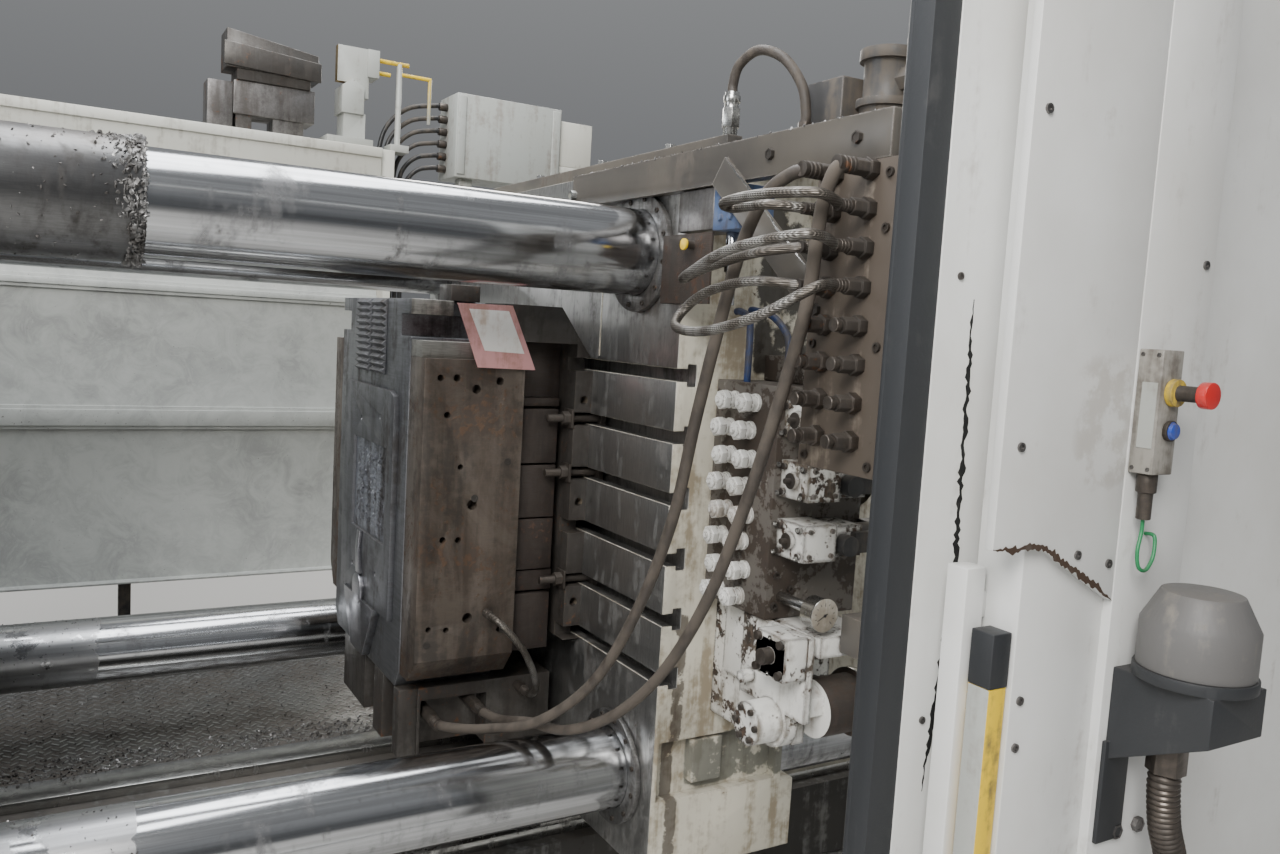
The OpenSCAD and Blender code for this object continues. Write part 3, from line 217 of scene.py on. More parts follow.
def make_steel_group():
    """Machined steel: tool lines along one way, stains and rust."""
    t, i, o = group("machined steel", [("Vector", V, None), ("Lines", V, None), ("Steel", C, None),
                                       ("Stain", C, None),
                                      ("Rust", C, None), ("Stained", F, 0.4), ("Rusted", F, 0.2)],
                    [("Color", C), ("Dull", F), ("Height", F)])
    p = i.outputs["Vector"]
    lines = noise(t, node(t, "ShaderNodeVectorMath", {0: p, 1: i.outputs["Lines"]},
                          operation="MULTIPLY").outputs[0],
                  1.0, 3.0, 0.6)
    cloud = noise(t, p, 5.0, 7.0, 0.68, 0.6)
    fine = noise(t, p, 75.0, 4.0, 0.65)
    runs = noise(t, stretch(t, p, (22.0, 22.0, 3.0)), 1.0, 5.0, 0.6)
    lim_s = calc(t, "SUBTRACT", 0.66, calc(t, "MULTIPLY", i.outputs["Stained"], 0.26))
    stain = ramp(t, calc(t, "SUBTRACT", calc(t, "ADD", calc(t, "MULTIPLY", cloud, 0.6),
                                             calc(t, "MULTIPLY", runs, 0.4)),
                         lim_s), -0.06, 0.10)
    lim_r = calc(t, "SUBTRACT", 0.68, calc(t, "MULTIPLY", i.outputs["Rusted"], 0.26))
    rust = ramp(t, calc(t, "SUBTRACT", calc(t, "ADD", calc(t, "MULTIPLY", cloud, 0.5),
                                            calc(t, "MULTIPLY", fine, 0.5)),
                        lim_r), -0.01, 0.05)
    base = blend(t, ramp(t, lines, 0.3, 0.7, 0.0, 0.35), i.outputs["Steel"], (0.09, 0.09, 0.09))
    base = blend(t, calc(t, "MULTIPLY", stain, 0.8), base, i.outputs["Stain"])
    t.links.new(blend(t, calc(t, "MULTIPLY", rust, 0.9), base, i.outputs["Rust"]), o.inputs["Color"])
    t.links.new(calc(t, "MAXIMUM", calc(t, "MULTIPLY", stain, 0.6), rust), o.inputs["Dull"])
    t.links.new(calc(t, "ADD", calc(t, "MULTIPLY", lines, 0.35),
                     calc(t, "MULTIPLY", rust, calc(t, "MULTIPLY", fine, 1.2))),
                o.inputs["Height"])
    return t


G_EDGE, G_GRIME, G_PAINT, G_STEEL = (make_edge_group(), make_grime_group(),
                                      make_paint_group(), make_steel_group())


def use(tree, g, inputs):
    """A node group placed in a material's tree, with its inputs linked or set."""
    n = tree.nodes.new("ShaderNodeGroup")
    n.node_tree = g
    for k, v in inputs.items():
        if isinstance(v, bpy.types.NodeSocket):
            tree.links.new(v, n.inputs[k])
        elif isinstance(v, (tuple, list)) and n.inputs[k].type == "RGBA":
            n.inputs[k].default_value = rgb(v)
        else:
            n.inputs[k].default_value = v
    return n


def start(name):
    """A new material with its tree, its shader and the Object coordinates."""
    m = bpy.data.materials.new(name)
    m.use_nodes = True
    t = m.node_tree
    bsdf = t.nodes["Principled BSDF"]
    return m, t, bsdf, node(t, "ShaderNodeTexCoord").outputs["Object"]


def bump(t, bsdf, height, distance, strength=1.0):
    b = node(t, "ShaderNodeBump", {"Strength": strength, "Distance": distance, "Height": height})
    t.links.new(b.outputs[0], bsdf.inputs["Normal"])


BARE_ROUGH, STEEL_GRIME = 0.72, (0.035, 0.03, 0.026)


def paint(name, color, under=(0.10, 0.09, 0.08), grime=(0.07, 0.05, 0.035), chips=0.3, dirt=0.4, rough=0.42,
          size=1.0, corners=0.008, metal=0.0, dust=0.25, bump_mm=0.25):
    """Paint that chips to the colour under it, with grime. corners is how far the corners wear, in metres."""
    m, t, bsdf, p = start(name)
    edge = use(t, G_EDGE, {"Reach": corners}).outputs["Mask"] if corners else 0.0
    a = use(t, G_PAINT, {"Vector": p, "Paint": color, "Under": under, "Chips": chips, "Size": size,
                         "Corners": edge})
    b = use(t, G_GRIME, {"Vector": p, "Color": a.outputs["Color"], "Grime": grime, "Amount": dirt,
                         "Dust": dust})
    t.links.new(b.outputs["Color"], bsdf.inputs["Base Color"])
    dull = calc(t, "MAXIMUM", a.outputs["Bare"], calc(t, "MULTIPLY", b.outputs["Mask"], 0.8))
    t.links.new(ramp(t, dull, 0.0, 1.0, rough, BARE_ROUGH), bsdf.inputs["Roughness"])
    if metal:
        t.links.new(calc(t, "MULTIPLY", a.outputs["Bare"], metal), bsdf.inputs["Metallic"])
    bump(t, bsdf, a.outputs["Height"], bump_mm / 1000)
    return m


def steel(name, color, stain=(0.05, 0.042, 0.036), rust=(0.14, 0.06, 0.025), stained=0.4, rusted=0.15,
          rough=0.30,
          lines=(30.0, 30.0, 500.0), metal=1.0, dirt=0.25, dust=0.2, bump_mm=0.12, dull=0.65):
    """Bare steel with tool lines, stains and rust. dull is the roughness where it is stained."""
    m, t, bsdf, p = start(name)
    a = use(t, G_STEEL, {"Vector": p, "Lines": lines, "Steel": color, "Stain": stain, "Rust": rust,
                         "Stained": stained, "Rusted": rusted})
    b = use(t, G_GRIME, {"Vector": p, "Color": a.outputs["Color"], "Grime": STEEL_GRIME, "Amount": dirt,
                         "Dust": dust})
    t.links.new(b.outputs["Color"], bsdf.inputs["Base Color"])
    worn = calc(t, "MAXIMUM", a.outputs["Dull"], calc(t, "MULTIPLY", b.outputs["Mask"], 0.7))
    t.links.new(ramp(t, worn, 0.0, 1.0, rough, dull), bsdf.inputs["Roughness"])
    t.links.new(ramp(t, worn, 0.0, 1.0, metal, metal * 0.25), bsdf.inputs["Metallic"])
    bump(t, bsdf, a.outputs["Height"], bump_mm / 1000)
    return m


def plain(name, color, rough=0.5, metal=0.0, dirt=0.3, grime=(0.10, 0.085, 0.07), dust=0.3, coat=0.0, grain=0.0,
          bump_mm=0.1):
    """Plastic, rubber or plain paint with grime and a fine grain."""
    m, t, bsdf, p = start(name)
    b = use(t, G_GRIME, {"Vector": p, "Color": color, "Grime": grime, "Amount": dirt, "Dust": dust})
    t.links.new(b.outputs["Color"], bsdf.inputs["Base Color"])
    t.links.new(ramp(t, b.outputs["Mask"], 0.0, 1.0, rough, min(0.9, rough + 0.3)), bsdf.inputs["Roughness"])
    bsdf.inputs["Metallic"].default_value = metal
    bsdf.inputs["Coat Weight"].default_value = coat
    if grain:
        bump(t, bsdf, noise(t, p, grain, 4.0, 0.6), bump_mm / 1000)
    return m


M = {
    "cream": paint("cream casting paint", (0.66, 0.63, 0.53), (0.10, 0.07, 0.05), (0.25, 0.20, 0.13), 0.27,
                   0.42, 0.45),
    "cream rail": paint("cream rail paint", (0.62, 0.62, 0.56), (0.20, 0.17, 0.13), (0.36, 0.34, 0.29), 0.12,
                        0.25, 0.5,
                       corners=0.0),
    "face": steel("machined platen face", (0.55, 0.55, 0.54), stained=0.47, rusted=0.18, rough=0.38,
                  lines=(20.0, 420.0, 14.0)),
    "bar": steel("chromed tie bar", (0.52, 0.53, 0.545), stain=(0.14, 0.14, 0.145), stained=0.34, rusted=0.0,
                 rough=0.15,
                 lines=(1.6, 120.0, 120.0), dirt=0.10, dust=0.06, bump_mm=0.05, dull=0.34),
    "dull": steel("dull steel", (0.26, 0.25, 0.245), stained=0.6, rusted=0.3, rough=0.45,
                  lines=(160.0, 160.0, 160.0)),
    "sleeve": steel("tie bar sleeve steel", (0.17, 0.17, 0.172), stain=(0.045, 0.042, 0.040), stained=0.45,
                    rusted=0.08,
                    rough=0.36, dirt=0.3, dust=0.45),
    "bright": steel("ground steel", (0.60, 0.60, 0.58), stained=0.3, rusted=0.12, rough=0.24),
    "bush": steel("wiper flange steel", (0.40, 0.40, 0.40), stained=0.5, rusted=0.12, rough=0.36, dirt=0.4),
    "die": steel("die block steel", (0.235, 0.243, 0.258), stain=(0.065, 0.066, 0.070), stained=0.50,
                 rusted=0.06,
                 rough=0.40, metal=0.85, lines=(240.0, 12.0, 240.0), dirt=0.3, dust=0.1),
    "insert": steel("insert steel", (0.185, 0.19, 0.205), stain=(0.055, 0.055, 0.058), stained=0.5,
                    rusted=0.05, rough=0.42,
                    metal=0.8, dirt=0.3, bump_mm=0.35),
    "cast": steel("stuck cast metal", (0.60, 0.63, 0.72), stain=(0.03, 0.03, 0.036), stained=0.70, rusted=0.0,
                  rough=0.30,
                  metal=0.9, dirt=0.40, dust=0.0, bump_mm=0.6),
    "runner": steel("worn runner", (0.42, 0.42, 0.45), stain=(0.16, 0.16, 0.18), stained=0.45, rusted=0.0,
                    rough=0.3,
                    dirt=0.15, dust=0.0),
    "core": steel("brown core block", (0.17, 0.138, 0.112), stain=(0.045, 0.032, 0.024),
                  rust=(0.095, 0.055, 0.032),
                  stained=0.66, rusted=0.50, rough=0.36, metal=0.6, dirt=0.35, dust=0.1, bump_mm=0.4),
    # Tan steel for the clamp plate's lit edge: a painted highlight
    "clamp lit edge": steel("clamp edge painted highlight", (0.30, 0.245, 0.18), stain=(0.12, 0.09, 0.065), stained=0.5,
                        rusted=0.25,
                        rough=0.4, metal=0.6, dirt=0.35),
    "box": steel("oily brown box", (0.072, 0.056, 0.048), stain=(0.03, 0.022, 0.018),
                 rust=(0.075, 0.042, 0.028),
                 stained=0.7, rusted=0.5, rough=0.38, metal=0.5, dirt=0.3, dust=0.05, bump_mm=0.3),
    "lip": steel("pale lip steel", (0.36, 0.35, 0.32), stained=0.5, rusted=0.25, rough=0.42, metal=0.6,
                 dirt=0.35),
    "oily": steel("oily dark steel", (0.105, 0.098, 0.09), stained=0.7, rusted=0.4, rough=0.34, metal=0.7,
                  dirt=0.45,
                  bump_mm=0.4),
    "beam": paint("dark beam steel", (0.050, 0.047, 0.045), (0.42, 0.40, 0.37), (0.10, 0.085, 0.07), 0.26,
                  0.18, 0.34,
                  metal=0.8, corners=0.007, dust=0.15),
    "tan": paint("grimy coupling plate", (0.185, 0.155, 0.125), (0.10, 0.085, 0.07), (0.055, 0.042, 0.032),
                 0.35, 0.78,
                 0.45),
    "fitting": steel("oily fittings", (0.155, 0.13, 0.11), stained=0.75, rusted=0.35, rough=0.33, metal=0.9,
                     dirt=0.5),
    "enamel": paint("white plug enamel", (0.80, 0.80, 0.775), (0.10, 0.09, 0.08), (0.30, 0.25, 0.20), 0.15,
                    0.22, 0.34,
                    size=2.0, corners=0.004),
    "chipped": paint("chipped valve enamel", (0.78, 0.78, 0.75), (0.018, 0.016, 0.015), (0.20, 0.17, 0.13),
                     0.64, 0.24, 0.36,
                     size=1.2, corners=0.014),
    "block": paint("worn block paint", (0.52, 0.51, 0.48), (0.025, 0.020, 0.017), (0.045, 0.034, 0.026), 0.86,
                   0.85, 0.42,
                   size=1.1, corners=0.0),
    "black cast": paint("black casting", (0.05, 0.05, 0.052), (0.30, 0.28, 0.26), (0.12, 0.10, 0.08), 0.22,
                        0.4, 0.45),
    "guard": paint("white guard paint", (0.76, 0.77, 0.76), (0.22, 0.19, 0.16), (0.50, 0.48, 0.45), 0.07,
                   0.14, 0.36,
                   size=0.9, corners=0.0, dust=0.08),
    "bed": paint("bed paint", (0.12, 0.127, 0.13), (0.06, 0.05, 0.042), (0.022, 0.019, 0.016), 0.35, 0.78,
                 0.45, dust=0.35,
                 corners=0.0),
    "chequer": steel("chequer plate steel", (0.17, 0.168, 0.16), stained=0.6, rusted=0.15, rough=0.42,
                     metal=0.8,
                     dirt=0.5, dust=0.35),
    "dash": steel("worn dashes", (0.46, 0.46, 0.45), stained=0.45, rusted=0.08, rough=0.3, dirt=0.35, dust=0.0),
    "cylinder": paint("cylinder paint", (0.46, 0.47, 0.46), (0.12, 0.09, 0.07), chips=0.2, dirt=0.3,
                      corners=0.0),
    "bottle": paint("bottle paint", (0.10, 0.15, 0.20), (0.2, 0.18, 0.16), chips=0.15, dirt=0.25, rough=0.3,
                    corners=0.0),
    "yellow": plain("curtain yellow", (0.80, 0.55, 0.03), 0.35, dirt=0.35),
    "black": plain("black plastic", (0.018, 0.018, 0.019), 0.42, dirt=0.30, grain=300.0),
    "charcoal": plain("charcoal rubber", (0.022, 0.024, 0.027), 0.55, dirt=0.06, grime=(0.07, 0.07, 0.07),
                      dust=0.10,
                      grain=160.0, bump_mm=0.3),
    "grey box": paint("grey unit paint", (0.40, 0.42, 0.40), (0.12, 0.10, 0.09), (0.26, 0.24, 0.21),
                      chips=0.18, dirt=0.3,
                      corners=0.0),
    "taupe": paint("button box casting", (0.31, 0.30, 0.275), (0.42, 0.41, 0.39), (0.10, 0.085, 0.07),
                   chips=0.26, dirt=0.42,
                   metal=0.7),
    "red": plain("red button", (0.55, 0.018, 0.016), 0.28, dirt=0.3, coat=0.3),
    "blue": plain("blue button", (0.02, 0.07, 0.42), 0.3, dirt=0.25, coat=0.3),
    "blue paint": paint("blue cylinder paint", (0.035, 0.10, 0.26), (0.25, 0.24, 0.22), chips=0.34, dirt=0.4,
                        metal=0.7),
    "dome": plain("palm cap", (0.125, 0.122, 0.120), 0.5, dirt=0.20, grime=(0.24, 0.22, 0.19), dust=0.35,
                  grain=220.0,
                  bump_mm=0.2),
    "rubber": plain("hose rubber", (0.052, 0.043, 0.036), 0.55, dirt=0.55, grime=(0.105, 0.088, 0.072),
                    dust=0.12,
                    grain=260.0, bump_mm=0.35),
    "brown": steel("rusty plate", (0.062, 0.042, 0.032), rust=(0.075, 0.038, 0.022), stained=0.65, rusted=0.6,
                   rough=0.5,
                   metal=0.4, dirt=0.5, bump_mm=0.4),
    "green": plain("green cable", (0.02, 0.22, 0.08), 0.4, dirt=0.25),
    "tag": plain("faded tag", (0.66, 0.34, 0.34), 0.6, dirt=0.40, grime=(0.42, 0.22, 0.18), dust=0.05),
    "paper": plain("stained paper", (0.86, 0.84, 0.81), 0.7, dirt=0.22, grime=(0.55, 0.42, 0.33), dust=0.05),
    "brass": steel("brass", (0.55, 0.38, 0.12), stained=0.4, rusted=0.1, rough=0.3),
    "dial": plain("gauge dial", (0.40, 0.38, 0.33), 0.4, dirt=0.55, grime=(0.20, 0.17, 0.13)),
    "flash": steel("flash crumbs", (0.42, 0.42, 0.42), stained=0.7, rusted=0.1, rough=0.42, metal=0.8,
                   dirt=0.5),
    "torn": plain("torn edge", (0.055, 0.032, 0.020), 0.75, dirt=0.4, grain=90.0, bump_mm=0.6),
    "hole": plain("near-black strip", (0.008, 0.008, 0.008), 0.8, dirt=0.1),
}


def make_braid(name, color, pitch):
    """Wire braid: two crossed sets of slanting ridges on a hose."""
    m, t, bsdf, p = start(name)
    xyz = node(t, "ShaderNodeSeparateXYZ", {0: p})
    s = calc(t, "ADD", calc(t, "ADD", xyz.outputs[0], xyz.outputs[1]), xyz.outputs[2])
    d = calc(t, "SUBTRACT", calc(t, "ADD", xyz.outputs[0], xyz.outputs[1]), xyz.outputs[2])
    wave = calc(t, "MULTIPLY", calc(t, "SINE", calc(t, "MULTIPLY", s, pitch)),
                calc(t, "SINE", calc(t, "MULTIPLY", d, pitch)))
    b = use(t, G_GRIME, {"Vector": p, "Color": color, "Grime": (0.09, 0.075, 0.06), "Amount": 0.6, "Dust": 0.3})
    tone = blend(t, ramp(t, wave, -0.6, 0.4, 0.75, 0.0), b.outputs["Color"], (0.03, 0.027, 0.024))
    t.links.new(tone, bsdf.inputs["Base Color"])
    bsdf.inputs["Metallic"].default_value = 0.8
    bsdf.inputs["Roughness"].default_value = 0.4
    bump(t, bsdf, wave, 0.0005)
    return m


def cloudy(name, color, dark, pale, rough=0.45):
    """Sheet metal paint under a thin film of dried spray: broad clouds, fine freckles, few scratches."""
    m, t, bsdf, p = start(name)
    broad = noise(t, p, 1.7, 6.0, 0.62, 0.7)
    mid = noise(t, p, 9.0, 7.0, 0.7, 1.2)
    fine = noise(t, p, 130.0, 2.0, 0.5)
    cloud = calc(t, "ADD", calc(t, "MULTIPLY", broad, 0.6), calc(t, "MULTIPLY", mid, 0.4))
    tone = blend(t, ramp(t, cloud, 0.42, 0.68, 0.0, 0.85), color, dark)
    tone = blend(t, ramp(t, mid, 0.56, 0.66, 0.0, 0.35), tone, pale)
    tone = blend(t, ramp(t, fine, 0.70, 0.76, 0.0, 0.8), tone, (0.09, 0.08, 0.07))
    t.links.new(tone, bsdf.inputs["Base Color"])
    t.links.new(ramp(t, mid, 0.35, 0.65, rough, rough + 0.2), bsdf.inputs["Roughness"])
    bump(t, bsdf, fine, 0.00008)
    return m


M["sheet"] = cloudy("grey guard sheet", (0.42, 0.435, 0.415), (0.19, 0.195, 0.19), (0.56, 0.575, 0.555))
M["braid"] = make_braid("steel braid", (0.34, 0.33, 0.31), 900.0)
M["blue hose"] = plain("blue hose", (0.012, 0.035, 0.12), 0.4, dirt=0.4, grime=(0.06, 0.055, 0.05))


def stain_and_shade_patch(m, low, high, tone, amount, soft=0.02, ragged=5.0, rough=None):
    """A patch of colour with a broken edge inside one box of places, given in mm, over what the material has: a
    stain, and in one place painted shade.
    """
    t = m.node_tree
    bsdf = t.nodes["Principled BSDF"]
    p = node(t, "ShaderNodeTexCoord").outputs["Object"]
    place = node(t, "ShaderNodeSeparateXYZ", {0: p})
    inside = 1.0
    for k in range(3):
        a, b = low[k] / 1000, high[k] / 1000
        inside = calc(t, "MULTIPLY", inside, ramp(t, place.outputs[k], a - soft, a + soft))
        inside = calc(t, "MULTIPLY", inside, ramp(t, place.outputs[k], b - soft, b + soft, 1.0, 0.0))
    spread = ramp(t, noise(t, p, ragged, 6.0, 0.65), 0.30, 0.62, 0.25, 1.0)
    mask = ramp(t, calc(t, "MULTIPLY", inside, spread), 0.30, 0.55)
    old = bsdf.inputs["Base Color"].links[0].from_socket
    t.links.new(blend(t, calc(t, "MULTIPLY", mask, amount), old, tone), bsdf.inputs["Base Color"])
    if rough:
        old = bsdf.inputs["Roughness"].links[0].from_socket
        t.links.new(calc(t, "MAXIMUM", old, calc(t, "MULTIPLY", mask, rough)), bsdf.inputs["Roughness"])


# A near-black patch of painted shade on the cream side behind the jumper hoses, spray on the bars outside the
# bushes' travel, hand marks on the cover
stain_and_shade_patch(M["cream"], (205, -900, 1560), (400, -800, 1960), (0.022, 0.018, 0.015), 0.93, ragged=9.0, rough=0.5)
stain_and_shade_patch(M["cream"], (107, -900, 560), (400, -800, 700), (0.10, 0.105, 0.09), 0.8, ragged=14.0)
stain_and_shade_patch(M["cream"], (40, -900, 380), (72, -800, 1000), (0.045, 0.032, 0.024), 0.8, soft=0.012, ragged=26.0)
stain_and_shade_patch(M["bar"], (-2400, -900, 400), (-1062, 900, 800), (0.24, 0.24, 0.245), 0.5, soft=0.02, ragged=6.0,
       rough=0.34)
stain_and_shade_patch(M["guard"], (80, -1830, 1430), (245, -1790, 1660), (0.36, 0.32, 0.27), 0.42, soft=0.05, ragged=17.0)


# Cords: the routes are those of the CAD source, in mm there and here, and in metres once smoothed
def smooth(route, n=8):
    """A smooth path in metres through the points of a route in mm."""
    r = [Vector(p) / 1000 for p in route]
    out = []
    for i in range(len(r) - 1):
        a, b, c, d = r[max(i - 1, 0)], r[i], r[i + 1], r[min(i + 2, len(r) - 1)]
        for k in range(n):
            t = k / n
            out.append(0.5 * (2 * b + (c - a) * t + (2 * a - 5 * b + 4 * c - d) * t * t
                              + (3 * b - a - 3 * c + d) * t * t * t))
    out.append(r[-1])
    return out


def run_of(path):
    """The path's length."""
    return sum((b - a).length for a, b in zip(path, path[1:]))


def hose(name, route, d, mat, body, replaces):
    """A round hose of diameter d in metres along a route."""
    path = smooth(route)
    data = bpy.data.curves.new(name, "CURVE")
    data.dimensions = "3D"
    data.bevel_depth = d / 2
    data.bevel_resolution = 4
    data.use_fill_caps = True
    s = data.splines.new("POLY")
    s.points.add(len(path) - 1)
    for q, p in zip(s.points, path):
        q.co = (*p, 1.0)
    s.use_smooth = True
    data.materials.append(mat)
    o = bpy.data.objects.new(name, data)
    bpy.context.scene.collection.objects.link(o)
    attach(o, body)
    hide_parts(replaces)
    return o


LONG_FRONT = [[-75, -1375, 1933], [-95, -1375, 1933], [-112, -1345, 1925], [-122, -1290, 1890],
              [-126, -1235, 1800],
              [-130, -1185, 1650], [-126, -1125, 1480], [-120, -1055, 1270], [-128, -955, 1060],
              [-158, -835, 865],
              [-225, -705, 735], [-300, -560, 672], [-348, -450, 642], [-360, -395, 632], [-360, -375, 632]]
LONG_REAR = [[-75, -1463, 1933], [-95, -1463, 1933], [-112, -1458, 1915], [-110, -1432, 1850],
             [-98, -1398, 1700],
             [-88, -1330, 1530], [-84, -1250, 1340], [-86, -1150, 1130], [-96, -1020, 940], [-125, -880, 800],
             [-176, -750, 722], [-214, -630, 702], [-236, -500, 664], [-243, -395, 650], [-243, -375, 650]]
JUMPER_A = [[-75, -1375, 1868], [-95, -1375, 1868], [-150, -1335, 1872], [-172, -1270, 1868],
            [-205, -1290, 1872],
            [-195, -1380, 1880], [-150, -1470, 1880], [-95, -1463, 1868], [-75, -1463, 1868]]
JUMPER_B = [[-75, -1375, 1803], [-95, -1375, 1803], [-150, -1310, 1790], [-175, -1200, 1765],
            [-200, -1170, 1745],
            [-225, -1220, 1750], [-215, -1330, 1790], [-160, -1460, 1815], [-95, -1463, 1803],
            [-75, -1463, 1803]]
JUMPER_C = [[-75, -1375, 1738], [-95, -1375, 1738], [-150, -1310, 1742], [-180, -1220, 1722],
            [-200, -1170, 1685],
            [-225, -1190, 1655], [-230, -1290, 1650], [-200, -1400, 1680], [-150, -1480, 1730],
            [-95, -1463, 1738],
            [-75, -1463, 1738]]
DIE_HOSE = [[-256, -430.3, 918], [-256, -450, 918], [-232, -488, 896], [-180, -502, 832], [-135, -485, 745],
            [-118, -440, 695], [-115, -395, 680], [-115, -375, 680]]
BLUE_A = [[150, -850, 1700], [150, -868, 1700], [140, -915, 1685], [130, -935, 1640], [128, -938, 1580],
          [128, -938, 1545]]
BLUE_B = [[190, -850, 1705], [190, -868, 1705], [190, -940, 1690], [185, -1000, 1645], [180, -1012, 1580],
          [180, -1012, 1545]]
TOP_HOSE = [[100, -850, 2180], [100, -850, 2200], [100, -870, 2236], [110, -925, 2258], [128, -990, 2232],
            [140, -1042, 2170], [145, -1055, 2115], [145, -1055, 2092]]
GREEN = [[250, -1820, 1400], [250, -1820, 1380], [240, -1823, 1350], [244, -1825, 1326], [262, -1825, 1320],
         [280, -1823, 1335], [288, -1820, 1358], [290, -1815, 1372], [290, -1800.3, 1372]]
CONDUIT = [[303, -1868, 1005], [303, -1868, 980], [316, -1868, 915], [344, -1868, 850], [362, -1868, 760],
           [368, -1868, 660], [368, -1864, 590], [368, -1848, 535], [368, -1820, 510], [368, -1800.3, 510]]

hose("long_hose_front", LONG_FRONT, 0.024, M["rubber"], "platen", "long_hoses")
hose("long_hose_rear", LONG_REAR, 0.024, M["rubber"], "platen", "long_hoses")
hose("jumper_hose_1", JUMPER_A, 0.018, M["braid"], "platen", "jumper_hoses")
hose("jumper_hose_2", JUMPER_B, 0.018, M["braid"], "platen", "jumper_hoses")
hose("jumper_hose_3", JUMPER_C, 0.018, M["braid"], "platen", "jumper_hoses")
hose("die_hose", DIE_HOSE, 0.018, M["braid"], "platen", "small_hoses")
hose("blue_hose_1", BLUE_A, 0.016, M["blue hose"], "platen", "small_hoses")
hose("blue_hose_2", BLUE_B, 0.016, M["blue hose"], "platen", "small_hoses")
hose("top_hose", TOP_HOSE, 0.022, M["rubber"], "platen", "small_hoses")
hose("green_cable", GREEN, 0.006, M["green"], "machine", "button_cable")


BOX_HOSES, BOX_HOSE_Y = 6, 1730
BOX_FACE_X, BOX_BEND_X = 305, 285
BOX_HOSE_ENDS = (1850, 1650, 1550, 1500, 1480)


def box_route(k):
    """Hose k of the grey box: out to the left, round a quarter bend, and down behind the guard."""
    x, z = 40 + 23 * k, 2580 - 54 * k
    r = BOX_BEND_X - x
    bend = [(BOX_FACE_X, z), (BOX_BEND_X, z), (BOX_BEND_X - 0.5 * r, z - 0.13 * r),
            (BOX_BEND_X - 0.87 * r, z - 0.5 * r),
            (x, z - r), (x, z - 1.6 * r)]
    return [[px, BOX_HOSE_Y, pz] for px, pz in bend + [(x, end) for end in BOX_HOSE_ENDS]]


for k in range(BOX_HOSES):
    hose(f"box_hose_{k + 1}", box_route(k), 0.020, M["black"], "machine", "box_hoses")


# Meshes
def object_of(name, me, body, mats):
    """An object of the mesh that rides on a body."""
    for m in mats:
        me.materials.append(m)
    o = bpy.data.objects.new(name, me)
    bpy.context.scene.collection.objects.link(o)
    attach(o, body)
    return o


def shade(me, angle=35.0):
    """Smooth shading, with sharp edges past an angle in degrees."""
    me.polygons.foreach_set("use_smooth", [True] * len(me.polygons))
    me.set_sharp_from_angle(angle=math.radians(angle))


def corrugated(name, route, r, pitch, mat, body, replaces):
    """A corrugated conduit: rings that swell and narrow along the route."""
    path = smooth(route, 24)
    total = run_of(path)
    count = int(total / (pitch / 4))
    pts, dirs, k, gone = [], [], 0, 0.0
    for i in range(count + 1):
        want = total * i / count
        while k < len(path) - 2 and gone + (path[k + 1] - path[k]).length < want:
            gone += (path[k + 1] - path[k]).length
            k += 1
        seg = path[k + 1] - path[k]
        pts.append(path[k] + seg * ((want - gone) / max(seg.length, 1e-9)))
        dirs.append(seg.normalized())
    bm = bmesh.new()
    side = dirs[0].orthogonal().normalized()
    rings = []
    for i, (p, d) in enumerate(zip(pts, dirs)):
        side = (side - d * side.dot(d)).normalized()
        other = d.cross(side)
        rr = r - (0.0, 0.0012, 0.0035, 0.0012)[i % 4]
        rings.append([bm.verts.new(p + rr * (math.cos(a) * side + math.sin(a) * other))
                      for a in [2 * math.pi * j / 20 for j in range(20)]])
    for a, b in zip(rings, rings[1:]):
        for j in range(20):
            bm.faces.new((a[j], a[(j + 1) % 20], b[(j + 1) % 20], b[j]))
    bm.faces.new(list(reversed(rings[0])))
    bm.faces.new(rings[-1])
    me = bpy.data.meshes.new(name)
    bm.to_mesh(me)
    bm.free()
    shade(me, 60)
    o = object_of(name, me, body, [mat])
    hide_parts(replaces)
    return o


corrugated("switch_conduit", CONDUIT, 0.025, 0.009, M["fitting"], "machine", "conduit")


def skin(name, width, *mats, pick=None, segments=2, angle=30.0):
    """A CAD node's copy with rounded corners, in its place. pick(centre, normal) gives the material's number."""
    me = NODES[name].data.copy()
    me.materials.clear()
    bm = bmesh.new()
    bm.from_mesh(me)
    bmesh.ops.remove_doubles(bm, verts=bm.verts, dist=2e-6)
    bmesh.ops.dissolve_limit(bm, angle_limit=math.radians(0.5), verts=bm.verts, edges=bm.edges)
    bm.to_mesh(me)
    bm.free()
    me.name = name + "_skin"
    o = bpy.data.objects.new(name + "_skin", me)
    bpy.context.scene.collection.objects.link(o)
    mod = o.modifiers.new("round", "BEVEL")
    mod.width, mod.segments, mod.limit_method, mod.angle_limit = width, segments, "ANGLE", math.radians(angle)
    mod.use_clamp_overlap = True
    mod.harden_normals = False
    deps = bpy.context.evaluated_depsgraph_get()
    new = bpy.data.meshes.new_from_object(o.evaluated_get(deps), preserve_all_data_layers=False, depsgraph=deps)
    o.modifiers.remove(mod)
    o.data = new
    for m in mats:
        new.materials.append(m)
    if pick:
        for q in new.polygons:
            q.material_index = pick(q.center, q.normal)
    shade(new, 32)
    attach(o, BODY[name])
    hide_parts(name)
    return o


def fixed_platen_finish(c, n):
    """The face that carries the die half is bare, with its slots and holes; the rest is painted."""
    inside = abs(c.y) < 0.7 and 0.4 < c.z < 1.9
    return 1 if n.x > 0.8 or inside and abs(n.y) < 0.5 and abs(n.x) < 0.8 else 0


SLOT_DEPTH, SHOE_TOP, SHOE_REACH = 0.06, 0.371, 0.41
AXIS_Z, SLOTS_HALF_HEIGHT = 1.2, 0.4


